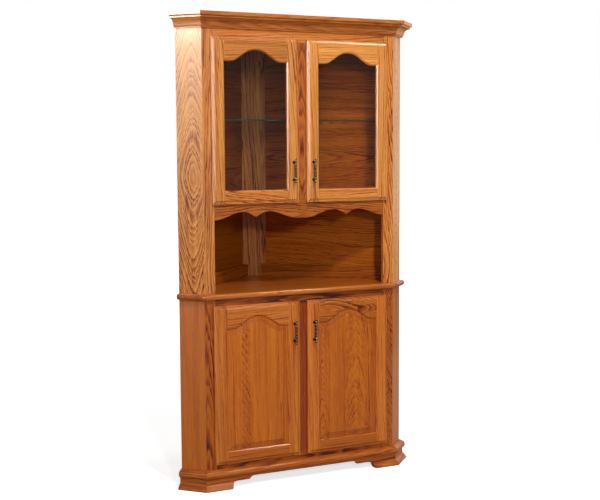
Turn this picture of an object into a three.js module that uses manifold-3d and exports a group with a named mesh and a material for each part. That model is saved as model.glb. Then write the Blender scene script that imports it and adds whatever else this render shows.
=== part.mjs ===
// Corner cupboard: an oak base with two panel doors, a bullnosed counter, and a hutch with an open
// niche, two glazed doors and a mitred crown. Millimetres, +Z up, +Y back into the room corner.
// The right half is modelled and the left half is its mirror image.
import * as THREE from "three";
import { mergeVertices } from "three/addons/utils/BufferGeometryUtils.js";
import Module from "manifold-3d";

const wasm = await Module();
wasm.setup();

// Overall sizes
const HEIGHT = 2032; // floor to the top of the crown
const FRONT_WIDTH = 916; // face frame, between the two front corners
const RETURN_WIDTH = 120; // each side board, set at 45 degrees to the front
const CORNER_CLIP = 59; // how much of the sharp back corner is cut off
const COUNTER_TOP = 851;
const COUNTER_THICKNESS = 25;
const COUNTER_OVERHANG = 24;

// Boards
const BOARD = 19; // sides, face frames, posts and cleats
const SHELF_BOARD = 18; // floor, shelf, deck and top panel
const BACK_PANEL = 12;
const REBATE_WIDTH = 10; // the back panels sit in this rebate of the side boards
const HOUSING = 5; // depth of the grooves in the side boards that carry the shelf boards
const GLUE_LINE = 0.2; // between boards that are fixed together
const CUT_OVERRUN = 10; // how far a cutter runs past the wood

// Face frames
const STILE_WIDTH = 50;
const MULLION_WIDTH = 64;
const BASE_RAIL_BOTTOM = 60; // lower edge of the bottom rail
const BASE_OPENING_BOTTOM = 120;
const BASE_TOP_RAIL_HEIGHT = 41; // from the base's opening up to the counter
const NICHE_HEIGHT = 394; // from the counter up to the glazed opening
const HUTCH_TOP_RAIL_HEIGHT = 109;
const CROWN_LIP = 2; // the crown stands this much above the boards that it hides

// Shelves
const BASE_FLOOR_TOP = 113;
const BASE_SHELF_TOP = 455;
const BASE_SHELF_SETBACK = 30;
const DECK_DROP = 6; // from the lower edge of the glazed opening down to the deck
const HUTCH_TOP_REVEAL = 19; // from the upper edge of the glazed opening up to the top panel
const BACK_LIFT = 12; // the base's back panels stay this far off the floor
const GLASS_SHELF_THICKNESS = 6;
const GLASS_SHELF_HEIGHT = 353; // from the deck up to the top of the glass shelf
const GLASS_SHELF_SETBACK = 12;
const GLASS_CLEARANCE = 1.5; // at the ends and back of the glass shelf
const SHELF_PIN_RADIUS = 3.5;
const SHELF_PIN_LENGTH = 14;
const SHELF_PIN_SEAT = 0.3; // under the glass
const SIDE_PIN_INSET = 58; // from the front corner, along the side board
const BACK_PIN_INSET = 380; // from the wall corner, along the back panel
const CLEAT_HEIGHT = 57;

// Doors
const OVERLAY = 13; // the doors lap over the face frame on every side
const DOOR_THICKNESS = 19;
const DOOR_GAP = 2; // between the back of a shut door and the face frame
const DOOR_STILE = 57;
const DOOR_TOP_RAIL = 102; // at the shoulders of the arch
const EDGE_THICKNESS = 11; // of the door at its outer edge
const EDGE_WIDTH = 15; // of the moulded edge
const EDGE_STEP = 1; // quirk between the moulding and the flat face
const EDGE_HOLLOW = 1.2; // how far the moulded edge is scooped below a straight bevel
const ARCH_RISE = 50;
const ARCH_REACH = 116.5; // half the width of the arch
const ARCH_RADIUS = 88; // of the crown of the arch
const ARCH_SHOULDER_SHARE = 0.7; // of the largest shoulder curve that would fit beside the crown
const STICKING = 5; // moulded inner edge of the door frame
const STICKING_STEP = 0.8;
const PANEL_TONGUE = 4.8; // thickness of the raised panel's edge
const PANEL_BACK = 6.7; // from the back of the door to the back of the panel
const PANEL_IN_GROOVE = 8.5;
const PANEL_BEVEL = 25; // visible width of the bevel round the raised field
const PANEL_STEP = 2; // at the edge of the raised field
const PANEL_FIELD_DROP = 0.8; // the field lies this much behind the face of the door
const PANEL_BEVEL_RISE = 4.2;
const GLASS = 4;
const GLASS_BACK = 6.5; // from the back of the door to the back of the glass
const GLASS_IN_GROOVE = 7.5;
const GROOVE_CLEARANCE = 0.4;
const GROOVE_DEPTH_CLEARANCE = 1;

// Concealed hinges
const HINGE_FROM_END = 80;
const PIVOT_IN = 5; // from the outer edge of the door
const PIVOT_OUT = 7.5; // in front of the face frame
const CUP_SETBACK = 19; // from the outer edge of the door to the centre of the cup
const CUP_RADIUS = 13;
const CUP_WALL = 1.2;
const CUP_DEPTH = 8.2;
const CUP_RIM = 1; // how far the rim and the flange stand out of the back of the door
const CUP_FLANGE_WIDTH = 26;
const CUP_FLANGE_HEIGHT = 44;
const CUP_FIT = 0.2; // between the cup and the wood
const KNUCKLE_RADIUS = 2.4;
const PIN_RADIUS = 1.2;
const PIN_CLEARANCE = 0.1;
const ARM_THICKNESS = 1.5;
const ARM_HEIGHT = 16;
const ARM_PLATE_HEIGHT = 34;
const ARM_PLATE_DEPTH = 15;
const ARM_PLATE_FROM_FACE = 2;
const ARM_CLEARANCE = 0.3; // between the arm and the ears of the cup
const EAR_THICKNESS = 2.7;
const SCREW_HEAD_RADIUS = 3.2;
const SCREW_HEAD_THICKNESS = 1.4;
const SCREW_FROM_END = 6;

// Pulls
const PULL_LENGTH = 104;
const PULL_CENTRES = 76;
const PULL_REACH = 22; // from the face of the door to the axis of the spindle
const PULL_FROM_END = 137; // from the end of the door to the middle of the pull
const PULL_SEAT = 0.1;
const PULL_RING_RADIUS = 5.8;
const PULL_POST_RADIUS = 3.4;
const PULL_FOOT_RADIUS = 6.2;
const PULL_FOOT_THICKNESS = 2;

// Moulding profiles: a size for each step out from the body and each step up
const CROWN_HEIGHT = 62.5;
const CROWN_OUT = 56.5;
const CROWN_FASCIA = 16;
const CROWN_FASCIA_ROUND = 3;
const CROWN_FILLET_IN = 47;
const CROWN_FILLET = 8;
const CROWN_COVE_TOP_IN = 45;
const CROWN_COVE_BOTTOM_IN = 18;
const CROWN_COVE = 24;
const CROWN_BEAD_TOP_IN = 15.5;
const CROWN_BEAD_BOTTOM_IN = 9;
const CROWN_BEAD = 11;
const PLINTH_HEIGHT = 86;
const PLINTH_SHELF_OUT = 10; // flat on top, before the bead
const PLINTH_BEAD_OUT = 30;
const PLINTH_BEAD_TOP = 83;
const PLINTH_BEAD_MIDDLE = 67;
const PLINTH_BEAD_BOTTOM = 55;
const PLINTH_BEAD_NECK_OUT = 25;
const PLINTH_COVE_OUT = 17;
const PLINTH_COVE_MIDDLE = 38;
const PLINTH_QUIRK_OUT = 21;
const PLINTH_QUIRK = 24;
const PLINTH_TOE_OUT = 39;
const PLINTH_TOE = 5;
const FOOT_LENGTH = 105; // from the front corner to the inner end of the foot, at the floor
const FOOT_TAPER = 9;
const FOOT_EDGE = 18; // height of the foot's inner end
const FOOT_COVE = 26; // width of the hollow above the foot
const FOOT_SHELF = 55; // level stretch after the hollow
const FOOT_SHELF_HEIGHT = 29;
const FOOT_RAMP = 23;
const PLINTH_CUT_HEIGHT = 43;

// Scalloped valance
const VALANCE_DEPTH = 80.5; // from the glazed opening down to its lowest edge
const VALANCE_RISE = 33;
const VALANCE_CUSP_DROP = 25.5; // from the top of an arch down to the cusp
const VALANCE_FLAT_SHARE = 0.06; // shares of half the opening: end of the flat, arch, cusp, arch
const VALANCE_INNER_ARCH_SHARE = 0.38;
const VALANCE_CUSP_SHARE = 0.535;
const VALANCE_OUTER_ARCH_SHARE = 0.68;

// Counter edge
const COUNTER_CORNER = 34; // radius of its front corners in plan
const NOSE_LAND = 10; // flat stretch of the moulded edge before the slab

// Steps used for round shapes
const ARCH_STEPS = 10;
const FILLET_STEPS = 5;
const EDGE_STEPS = 4;
const COVE_STEPS = 6;
const NOSE_STEPS = 8;
const CORNER_STEPS = 4;
const SCALLOP_STEPS = 6;
const CUP_SIDES = 16;
const PIN_SIDES = 8;
const PULL_SIDES = 8;

// Finishes
const OAK = new THREE.MeshStandardMaterial({ color: 0xc07a3a, roughness: 0.45, metalness: 0 });
const DARK_OAK = new THREE.MeshStandardMaterial({ color: 0x9c5c2c, roughness: 0.5, metalness: 0 });
const CLEAR_GLASS = new THREE.MeshStandardMaterial({
  color: 0xd5e4de,
  roughness: 0.05,
  metalness: 0,
  transparent: true,
  opacity: 0.3,
});
const ANTIQUE_BRASS = new THREE.MeshStandardMaterial({ color: 0x8d8468, roughness: 0.35, metalness: 0.9 });
const STEEL = new THREE.MeshStandardMaterial({ color: 0xb9bbbd, roughness: 0.35, metalness: 0.9 });

// The plan: the front lies on y = 0, the returns run back at 45 degrees to the two walls, which are
// square to them and meet behind the clipped corner.
const DIAGONAL = Math.SQRT1_2;
const MITRE = Math.tan(Math.PI / 8); // of the 135 degree front corners
const HALF_FRONT = FRONT_WIDTH / 2;
const RETURN_RUN = RETURN_WIDTH * DIAGONAL;
const WALL_APEX = HALF_FRONT + 2 * RETURN_RUN;
const BACK_Y = WALL_APEX - CORNER_CLIP;
const POST_FACE_Y = BACK_Y - BOARD;
const OPENING_HALF = HALF_FRONT - STILE_WIDTH;
const MULLION_HALF = MULLION_WIDTH / 2;
const COUNTER_UNDERSIDE = COUNTER_TOP - COUNTER_THICKNESS;
const CARCASS_TOP = HEIGHT - CROWN_LIP;
const BASE_OPENING_TOP = COUNTER_UNDERSIDE - BASE_TOP_RAIL_HEIGHT;
const HUTCH_OPENING_BOTTOM = COUNTER_TOP + NICHE_HEIGHT;
const HUTCH_OPENING_TOP = CARCASS_TOP - HUTCH_TOP_RAIL_HEIGHT;
const HUTCH_DECK_TOP = HUTCH_OPENING_BOTTOM - DECK_DROP;
const HUTCH_TOP_UNDERSIDE = HUTCH_OPENING_TOP + HUTCH_TOP_REVEAL;
const GLASS_SHELF_TOP = HUTCH_DECK_TOP + GLASS_SHELF_HEIGHT;
const VALANCE_LOW = HUTCH_OPENING_BOTTOM - VALANCE_DEPTH;
const DOOR_OUTER = OPENING_HALF + OVERLAY;
const DOOR_INNER = MULLION_HALF - OVERLAY;
const DOOR_FACE = DOOR_GAP + DOOR_THICKNESS;
const BASE_DOOR = { bottom: BASE_OPENING_BOTTOM - OVERLAY, top: BASE_OPENING_TOP + OVERLAY };
const HUTCH_DOOR = { bottom: HUTCH_OPENING_BOTTOM - OVERLAY, top: HUTCH_OPENING_TOP + OVERLAY };

// A point s along the right return from the front corner, and t into the cupboard.
function onReturn(s, t) {
  return [HALF_FRONT + (s - t) * DIAGONAL, (s + t) * DIAGONAL];
}

// A point w along the right wall from its front end, and t into the cupboard.
function onWall(w, t) {
  return [HALF_FRONT + RETURN_RUN - (w + t) * DIAGONAL, RETURN_RUN + (w - t) * DIAGONAL];
}

// The distance along the wall at which depth t reaches the line y.
function wallReach(y, t) {
  return (y - RETURN_RUN) / DIAGONAL + t;
}

// Solids from meshes, and back.
function solidOf(geometry) {
  const bare = geometry.clone();
  bare.deleteAttribute("normal");
  bare.deleteAttribute("uv");
  const merged = mergeVertices(bare, 1e-4);
  const solid = new wasm.Manifold(
    new wasm.Mesh({
      numProp: 3,
      vertProperties: new Float32Array(merged.attributes.position.array),
      triVerts: new Uint32Array(merged.index.array),
    }),
  );
  return solid;
}

function geometryOf(solid) {
  const mesh = solid.getMesh();
  const places = new Float32Array(mesh.numVert * 3);
  for (let i = 0; i < mesh.numVert; i += 1) {
    places.set(mesh.vertProperties.subarray(i * mesh.numProp, i * mesh.numProp + 3), i * 3);
  }
  const geometry = new THREE.BufferGeometry();
  geometry.setAttribute("position", new THREE.BufferAttribute(places, 3));
  geometry.setIndex(new THREE.BufferAttribute(new Uint32Array(mesh.triVerts), 1));
  geometry.computeVertexNormals();
  return geometry;
}

function signedVolume(places, index) {
  let volume = 0;
  const [a, b, c] = [new THREE.Vector3(), new THREE.Vector3(), new THREE.Vector3()];
  for (let i = 0; i < index.length; i += 3) {
    a.fromArray(places, index[i] * 3);
    b.fromArray(places, index[i + 1] * 3);
    c.fromArray(places, index[i + 2] * 3);
    volume += a.dot(b.cross(c));
  }
  return volume;
}

// A closed body through rings of points. Each ring is { flat, space }: the same outline in its own
// plane, for the end caps, and in space.
function loft(rings) {
  const count = rings[0].space.length;
  const places = rings.flatMap((ring) => ring.space.flat());
  const index = [];
  for (let r = 0; r + 1 < rings.length; r += 1) {
    for (let i = 0; i < count; i += 1) {
      const j = (i + 1) % count;
      const [near, far] = [r * count, (r + 1) * count];
      index.push(near + i, near + j, far + j, near + i, far + j, far + i);
    }
  }
  for (const [r, flip] of [[0, true], [rings.length - 1, false]]) {
    const outline = rings[r].flat.map(([x, y]) => new THREE.Vector2(x, y));
    for (const [a, b, c] of THREE.ShapeUtils.triangulateShape(outline, [])) {
      const base = r * count;
      const forward = THREE.ShapeUtils.area(outline) > 0;
      if (flip === forward) index.push(base + a, base + c, base + b);
      else index.push(base + a, base + b, base + c);
    }
  }
  if (THREE.ShapeUtils.area(rings[0].flat.map(([x, y]) => new THREE.Vector2(x, y))) < 0) {
    const sides = (rings.length - 1) * count * 6;
    for (let i = 0; i < sides; i += 3) [index[i + 1], index[i + 2]] = [index[i + 2], index[i + 1]];
  }
  if (signedVolume(places, index) < 0) {
    for (let i = 0; i < index.length; i += 3) [index[i + 1], index[i + 2]] = [index[i + 2], index[i + 1]];
  }
  const geometry = new THREE.BufferGeometry();
  geometry.setAttribute("position", new THREE.Float32BufferAttribute(places, 3));
  geometry.setIndex(index);
  return geometry;
}

// An upright prism on a plan outline.
function upright(outline, bottom, top) {
  return loft([bottom, top].map((z) => ({ flat: outline, space: outline.map(([x, y]) => [x, y, z]) })));
}

// A body cut along the depth: outlines in x and z, each at its own distance in front of the face frame.
function layered(layers) {
  return loft(
    layers.map(({ outline, out }) => ({ flat: outline, space: outline.map(([x, z]) => [x, -out, z]) })),
  );
}

function block(x0, x1, y0, y1, z0, z1) {
  return upright([[x0, y0], [x1, y0], [x1, y1], [x0, y1]], z0, z1);
}

// A moulding: profile points are [out from the body, height], swept through stations in plan. A
// station's outward vector is how far the section moves for each unit out, so it holds the mitre.
function moulding(profile, stations) {
  return loft(
    stations.map(({ at, outward }) => ({
      flat: profile,
      space: profile.map(([out, z]) => [at[0] + out * outward[0], at[1] + out * outward[1], z]),
    })),
  );
}

// A turned piece from points [along, radius], on an axis that starts at a point and runs in a direction.
function turned(points, start, direction, sides) {
  const profile = points.map(([along, radius]) => new THREE.Vector2(radius, along));
  const lathe = new THREE.LatheGeometry(profile, sides);
  const turn = new THREE.Quaternion().setFromUnitVectors(new THREE.Vector3(0, 1, 0), direction);
  lathe.applyQuaternion(turn);
  lathe.translate(start.x, start.y, start.z);
  return lathe;
}

function rod(radius, length, start, direction, sides) {
  return turned([[0, 0], [0, radius], [length, radius], [length, 0]], start, direction, sides);
}

const RIGHTWARD = new THREE.Vector3(1, 0, 0);
const FORWARD = new THREE.Vector3(0, -1, 0);
const UPWARD = new THREE.Vector3(0, 0, 1);

// Points of an arc in a plane, from one angle to another.
function arc(cx, cy, rx, ry, from, to, steps) {
  const points = [];
  for (let i = 0; i <= steps; i += 1) {
    const angle = from + ((to - from) * i) / steps;
    points.push([cx + rx * Math.cos(angle), cy + ry * Math.sin(angle)]);
  }
  return points;
}

const QUARTER = Math.PI / 2;

// Mitre stations at the front corners, and square ends at the walls.
const CORNER_OUTWARD = [MITRE, -1];
const RETURN_OUTWARD = [DIAGONAL, -DIAGONAL];

function mirrored(station) {
  return { at: [-station.at[0], station.at[1]], outward: [-station.outward[0], station.outward[1]] };
}

// Carcass boards

function stileOutline() {
  return [
    [OPENING_HALF, 0],
    [HALF_FRONT, 0],
    [HALF_FRONT - BOARD * MITRE, BOARD],
    [OPENING_HALF, BOARD],
  ];
}

function sideBoard(bottom, top, shelfTops) {
  const rebate = BACK_PANEL + GLUE_LINE;
  const outline = [
    onReturn(GLUE_LINE, 0),
    onReturn(RETURN_WIDTH, 0),
    onReturn(RETURN_WIDTH, BOARD - REBATE_WIDTH),
    onReturn(RETURN_WIDTH - rebate, BOARD - REBATE_WIDTH),
    onReturn(RETURN_WIDTH - rebate, BOARD),
    onReturn(BOARD * MITRE + GLUE_LINE, BOARD),
  ];
  let solid = solidOf(upright(outline, bottom, top));
  for (const shelfTop of shelfTops) {
    const groove = [
      onReturn(-CUT_OVERRUN, BOARD - HOUSING),
      onReturn(RETURN_WIDTH + CUT_OVERRUN, BOARD - HOUSING),
      onReturn(RETURN_WIDTH + CUT_OVERRUN, BOARD + CUT_OVERRUN),
      onReturn(-CUT_OVERRUN, BOARD + CUT_OVERRUN),
    ];
    const cutter = upright(groove, shelfTop - SHELF_BOARD - GLUE_LINE, shelfTop + GLUE_LINE);
    solid = solid.subtract(solidOf(cutter));
  }
  return solid;
}

function backPanelOutline() {
  const start = BOARD - REBATE_WIDTH + GLUE_LINE;
  return [
    onWall(start, 0),
    onWall(wallReach(BACK_Y, 0), 0),
    onWall(wallReach(BACK_Y, BACK_PANEL), BACK_PANEL),
    onWall(start, BACK_PANEL),
  ];
}

function postOutline() {
  const face = onWall(wallReach(POST_FACE_Y, BACK_PANEL + GLUE_LINE), BACK_PANEL + GLUE_LINE)[0];
  const back = onWall(wallReach(BACK_Y, BACK_PANEL + GLUE_LINE), BACK_PANEL + GLUE_LINE)[0];
  return [[-face, POST_FACE_Y], [face, POST_FACE_Y], [back, BACK_Y], [-back, BACK_Y]];
}

function cleatOutline() {
  const inner = BACK_PANEL + GLUE_LINE;
  const outer = inner + BOARD;
  const end = POST_FACE_Y - GLUE_LINE;
  return [
    onWall(BOARD + GLUE_LINE, inner),
    onWall(wallReach(end, inner), inner),
    onWall(wallReach(end, outer), outer),
    onWall(BOARD + GLUE_LINE, outer),
  ];
}

// A level board between the face frame, the returns, the back panels and the post.
function levelOutline(frontY, returnInset, wallInset, backY) {
  const sideLine = HALF_FRONT - returnInset / DIAGONAL; // x - y on the return's side
  const wallLine = WALL_APEX - wallInset / DIAGONAL; // x + y on the wall's side
  const corner = [(wallLine + sideLine) / 2, (wallLine - sideLine) / 2];
  const half = [[sideLine + frontY, frontY], corner, [wallLine - backY, backY]];
  return [...half, ...half.map(([x, y]) => [-x, y]).reverse()];
}

function shelfBoard(top, setback) {
  const outline = levelOutline(
    BOARD + GLUE_LINE + setback,
    BOARD - HOUSING + GLUE_LINE,
    BACK_PANEL + GLUE_LINE,
    POST_FACE_Y - GLUE_LINE,
  );
  return upright(outline, top - SHELF_BOARD, top);
}

// Mouldings

function crownProfile() {
  const bottom = HEIGHT - CROWN_HEIGHT;
  const fasciaBottom = HEIGHT - CROWN_FASCIA;
  const coveTop = fasciaBottom - CROWN_FILLET;
  const coveBottom = coveTop - CROWN_COVE;
  const beadBottom = coveBottom - CROWN_BEAD;
  return [
    [GLUE_LINE, bottom],
    [CROWN_BEAD_BOTTOM_IN, bottom],
    [CROWN_BEAD_BOTTOM_IN, beadBottom],
    ...arc(
      CROWN_BEAD_BOTTOM_IN,
      coveBottom,
      CROWN_BEAD_TOP_IN - CROWN_BEAD_BOTTOM_IN,
      CROWN_BEAD,
      -QUARTER,
      0,
      FILLET_STEPS,
    ).slice(1),
    ...arc(
      CROWN_COVE_TOP_IN,
      coveBottom,
      CROWN_COVE_TOP_IN - CROWN_COVE_BOTTOM_IN,
      CROWN_COVE,
      Math.PI,
      QUARTER,
      COVE_STEPS,
    ),
    [CROWN_FILLET_IN, coveTop],
    [CROWN_FILLET_IN, fasciaBottom],
    ...arc(
      CROWN_OUT - CROWN_FASCIA_ROUND,
      fasciaBottom + CROWN_FASCIA_ROUND,
      CROWN_FASCIA_ROUND,
      CROWN_FASCIA_ROUND,
      -QUARTER,
      0,
      FILLET_STEPS,
    ),
    [CROWN_OUT, HEIGHT],
    [GLUE_LINE, HEIGHT],
  ];
}

function crown() {
  const corner = { at: [HALF_FRONT, 0], outward: CORNER_OUTWARD };
  const wallEnd = { at: onReturn(RETURN_WIDTH, 0), outward: RETURN_OUTWARD };
  return moulding(crownProfile(), [mirrored(wallEnd), mirrored(corner), corner, wallEnd]);
}

function plinthProfile() {
  return [
    [GLUE_LINE, 0],
    [PLINTH_TOE_OUT - PLINTH_TOE / 2, 0],
    [PLINTH_TOE_OUT, PLINTH_TOE],
    [PLINTH_QUIRK_OUT, PLINTH_QUIRK],
    [PLINTH_QUIRK_OUT - PLINTH_TOE / 2, PLINTH_QUIRK],
    ...arc(
      PLINTH_BEAD_NECK_OUT,
      PLINTH_COVE_MIDDLE,
      PLINTH_BEAD_NECK_OUT - PLINTH_COVE_OUT,
      PLINTH_BEAD_BOTTOM - PLINTH_COVE_MIDDLE,
      Math.PI,
      QUARTER,
      COVE_STEPS,
    ),
    ...arc(
      PLINTH_BEAD_NECK_OUT,
      PLINTH_BEAD_MIDDLE,
      PLINTH_BEAD_OUT - PLINTH_BEAD_NECK_OUT,
      PLINTH_BEAD_MIDDLE - PLINTH_BEAD_BOTTOM,
      -QUARTER,
      0,
      FILLET_STEPS,
    ).slice(1),
    ...arc(
      PLINTH_SHELF_OUT,
      PLINTH_BEAD_MIDDLE,
      PLINTH_BEAD_OUT - PLINTH_SHELF_OUT,
      PLINTH_BEAD_TOP - PLINTH_BEAD_MIDDLE,
      0,
      QUARTER,
      COVE_STEPS,
    ).slice(1),
    [PLINTH_SHELF_OUT, PLINTH_HEIGHT],
    [GLUE_LINE, PLINTH_HEIGHT],
  ];
}

function plinthFront() {
  const right = { at: [HALF_FRONT - GLUE_LINE, 0], outward: CORNER_OUTWARD };
  const board = solidOf(moulding(plinthProfile(), [mirrored(right), right]));
  const footEnd = HALF_FRONT - FOOT_LENGTH;
  const coveStart = footEnd - FOOT_TAPER;
  const coveEnd = coveStart - FOOT_COVE;
  const half = [
    [footEnd, -CUT_OVERRUN],
    [footEnd, 0],
    ...arc(coveEnd, FOOT_EDGE, FOOT_COVE, FOOT_SHELF_HEIGHT - FOOT_EDGE, 0, QUARTER, FILLET_STEPS),
    [coveEnd - FOOT_SHELF, FOOT_SHELF_HEIGHT],
    ...arc(
      coveEnd - FOOT_SHELF - FOOT_RAMP,
      FOOT_SHELF_HEIGHT,
      FOOT_RAMP,
      PLINTH_CUT_HEIGHT - FOOT_SHELF_HEIGHT,
      0,
      QUARTER,
      FILLET_STEPS,
    ),
  ];
  const outline = [...half, ...half.map(([x, z]) => [-x, z]).reverse()];
  const cutter = layered([
    { outline, out: -CUT_OVERRUN },
    { outline, out: PLINTH_TOE_OUT + CUT_OVERRUN },
  ]);
  return board.subtract(solidOf(cutter));
}

function plinthReturn() {
  const corner = { at: onReturn(GLUE_LINE, 0), outward: CORNER_OUTWARD };
  const wallEnd = { at: onReturn(RETURN_WIDTH, 0), outward: RETURN_OUTWARD };
  return moulding(plinthProfile(), [corner, wallEnd]);
}

// Counter: a slab with a bullnose round the front and the returns.
function counter() {
  const noseRadius = COUNTER_THICKNESS / 2;
  const inset = noseRadius + NOSE_LAND;
  const middle = COUNTER_UNDERSIDE + noseRadius;
  const profile = [
    [-inset, COUNTER_UNDERSIDE],
    ...arc(-noseRadius, middle, noseRadius, noseRadius, -QUARTER, QUARTER, NOSE_STEPS),
    [-inset, COUNTER_TOP],
  ];
  // the centre of a rounded corner lies where the two edge lines, moved in by its radius, meet
  const setback = COUNTER_CORNER - COUNTER_OVERHANG;
  const centre = [HALF_FRONT - setback * MITRE, setback];
  const corner = [];
  for (let i = 0; i <= CORNER_STEPS; i += 1) {
    const angle = -QUARTER + (QUARTER / 2) * (i / CORNER_STEPS);
    const outward = [Math.cos(angle), Math.sin(angle)];
    const at = [centre[0] + COUNTER_CORNER * outward[0], centre[1] + COUNTER_CORNER * outward[1]];
    corner.push({ at, outward });
  }
  const wallEnd = { at: onReturn(RETURN_WIDTH, -COUNTER_OVERHANG), outward: RETURN_OUTWARD };
  const right = [...corner, wallEnd];
  const nose = solidOf(moulding(profile, [...right.map(mirrored).reverse(), ...right]));
  const slabInset = noseRadius + NOSE_LAND / 2 - COUNTER_OVERHANG;
  const slab = levelOutline(slabInset, slabInset, 0, BACK_Y);
  return nose.add(solidOf(upright(slab, COUNTER_UNDERSIDE, COUNTER_TOP)));
}

// Scalloped valance rail
function valance() {
  const half = OPENING_HALF - GLUE_LINE;
  const flat = VALANCE_FLAT_SHARE * half;
  const innerArch = VALANCE_INNER_ARCH_SHARE * half;
  const cusp = VALANCE_CUSP_SHARE * half;
  const outerArch = VALANCE_OUTER_ARCH_SHARE * half;
  const top = VALANCE_LOW + VALANCE_RISE;
  const steps = [...Array(SCALLOP_STEPS).keys()].map((i) => (i + 1) / SCALLOP_STEPS);
  const right = [
    [flat, VALANCE_LOW],
    ...steps.map((k) => [
      flat + k * (innerArch - flat),
      VALANCE_LOW + (VALANCE_RISE * (1 - Math.cos(Math.PI * k))) / 2,
    ]),
    ...steps.map((k) => [
      innerArch + k * (cusp - innerArch),
      top - VALANCE_CUSP_DROP * (1 - Math.cos(QUARTER * k)),
    ]),
    ...steps.map((k) => [
      cusp + k * (outerArch - cusp),
      top - VALANCE_CUSP_DROP * (1 - Math.sin(QUARTER * k)),
    ]),
    ...steps.map((k) => [
      outerArch + k * (half - outerArch),
      VALANCE_LOW + (VALANCE_RISE * (1 + Math.cos(Math.PI * k))) / 2,
    ]),
  ];
  const outline = [
    ...right.map(([x, z]) => [-x, z]).reverse(),
    ...right,
    [half, HUTCH_OPENING_BOTTOM],
    [-half, HUTCH_OPENING_BOTTOM],
  ];
  return layered([{ outline, out: -BOARD }, { outline, out: 0 }]);
}

// Doors

const WINDOW_LEFT = DOOR_INNER + DOOR_STILE;
const WINDOW_RIGHT = DOOR_OUTER - DOOR_STILE;
const WINDOW_MIDDLE = (WINDOW_LEFT + WINDOW_RIGHT) / 2;

// The arched opening of a door, made smaller by an inset, or larger where it is negative.
function archOutline(door, inset) {
  const left = WINDOW_LEFT + inset;
  const right = WINDOW_RIGHT - inset;
  const shoulder = door.top - DOOR_TOP_RAIL;
  const largest = (ARCH_REACH ** 2 + ARCH_RISE ** 2) / (2 * ARCH_RISE) - ARCH_RADIUS;
  const filletRadius = ARCH_SHOULDER_SHARE * largest;
  const crownCentre = shoulder + ARCH_RISE - ARCH_RADIUS;
  const filletCentre = shoulder + filletRadius;
  // slope of the straight stretch that touches both arcs
  const climb = filletCentre - crownCentre;
  const radii = ARCH_RADIUS + filletRadius;
  const turn = Math.asin(radii / Math.hypot(ARCH_REACH, climb)) - Math.atan2(climb, ARCH_REACH);
  const crownRadius = ARCH_RADIUS - inset;
  const fillet = filletRadius + inset;
  // a narrower outline meets its upright edges part of the way up the shoulder curves
  const past = Math.max(0, WINDOW_MIDDLE + ARCH_REACH - right);
  const foot = Math.asin(past / fillet);
  return [
    [left, door.bottom + DOOR_STILE + inset],
    [right, door.bottom + DOOR_STILE + inset],
    [right, shoulder - inset],
    ...arc(
      WINDOW_MIDDLE + ARCH_REACH,
      filletCentre,
      fillet,
      fillet,
      -QUARTER - foot,
      -QUARTER - turn,
      FILLET_STEPS,
    ),
    ...arc(
      WINDOW_MIDDLE,
      crownCentre,
      crownRadius,
      crownRadius,
      QUARTER - turn,
      QUARTER + turn,
      ARCH_STEPS,
    ),
    ...arc(
      WINDOW_MIDDLE - ARCH_REACH,
      filletCentre,
      fillet,
      fillet,
      -QUARTER + turn,
      -QUARTER + foot,
      FILLET_STEPS,
    ),
    [left, shoulder - inset],
  ];
}

function doorRectangle(door, inset) {
  return [
    [DOOR_INNER + inset, door.bottom + inset],
    [DOOR_OUTER - inset, door.bottom + inset],
    [DOOR_OUTER - inset, door.top - inset],
    [DOOR_INNER + inset, door.top - inset],
  ];
}

// The door's full block, with its moulded outer edge.
function doorBlock(door) {
  const edge = DOOR_GAP + EDGE_THICKNESS;
  const bevelTop = DOOR_FACE - EDGE_STEP;
  const layers = [{ outline: doorRectangle(door, 0), out: DOOR_GAP }];
  for (let i = 0; i <= EDGE_STEPS; i += 1) {
    const share = i / EDGE_STEPS;
    const hollow = EDGE_HOLLOW * Math.sin(Math.PI * share);
    layers.push({
      outline: doorRectangle(door, EDGE_WIDTH * share),
      out: edge + (bevelTop - edge) * share - hollow,
    });
  }
  layers.push({ outline: doorRectangle(door, EDGE_WIDTH), out: DOOR_FACE });
  return solidOf(layered(layers));
}

function hingeHeights(door) {
  return [door.bottom + HINGE_FROM_END, door.top - HINGE_FROM_END];
}

const PIVOT_X = DOOR_OUTER - PIVOT_IN;
const CUP_X = DOOR_OUTER - CUP_SETBACK;
const EAR_HALF = ARM_HEIGHT / 2 + ARM_CLEARANCE + EAR_THICKNESS;
const EAR_END = KNUCKLE_RADIUS + ARM_CLEARANCE;

function hingePocket(height) {
  const start = new THREE.Vector3(CUP_X, CUT_OVERRUN, height);
  const depth = CUT_OVERRUN + DOOR_GAP + CUP_DEPTH + CUP_FIT;
  const bore = solidOf(rod(CUP_RADIUS + CUP_FIT, depth, start, FORWARD, CUP_SIDES));
  const notch = block(
    CUP_X,
    PIVOT_X + EAR_END + CUP_FIT,
    -(DOOR_GAP + CUP_DEPTH + CUP_FIT),
    CUT_OVERRUN,
    height - EAR_HALF - CUP_FIT,
    height + EAR_HALF + CUP_FIT,
  );
  return bore.add(solidOf(notch));
}

// The opening through the door frame, with its moulded front edge.
function framedOpening(door) {
  return solidOf(
    layered([
      { outline: archOutline(door, 0), out: -CUT_OVERRUN },
      { outline: archOutline(door, 0), out: DOOR_FACE - STICKING - STICKING_STEP },
      { outline: archOutline(door, -STICKING), out: DOOR_FACE - STICKING_STEP },
      { outline: archOutline(door, -STICKING), out: DOOR_FACE + CUT_OVERRUN },
    ]),
  );
}

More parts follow.
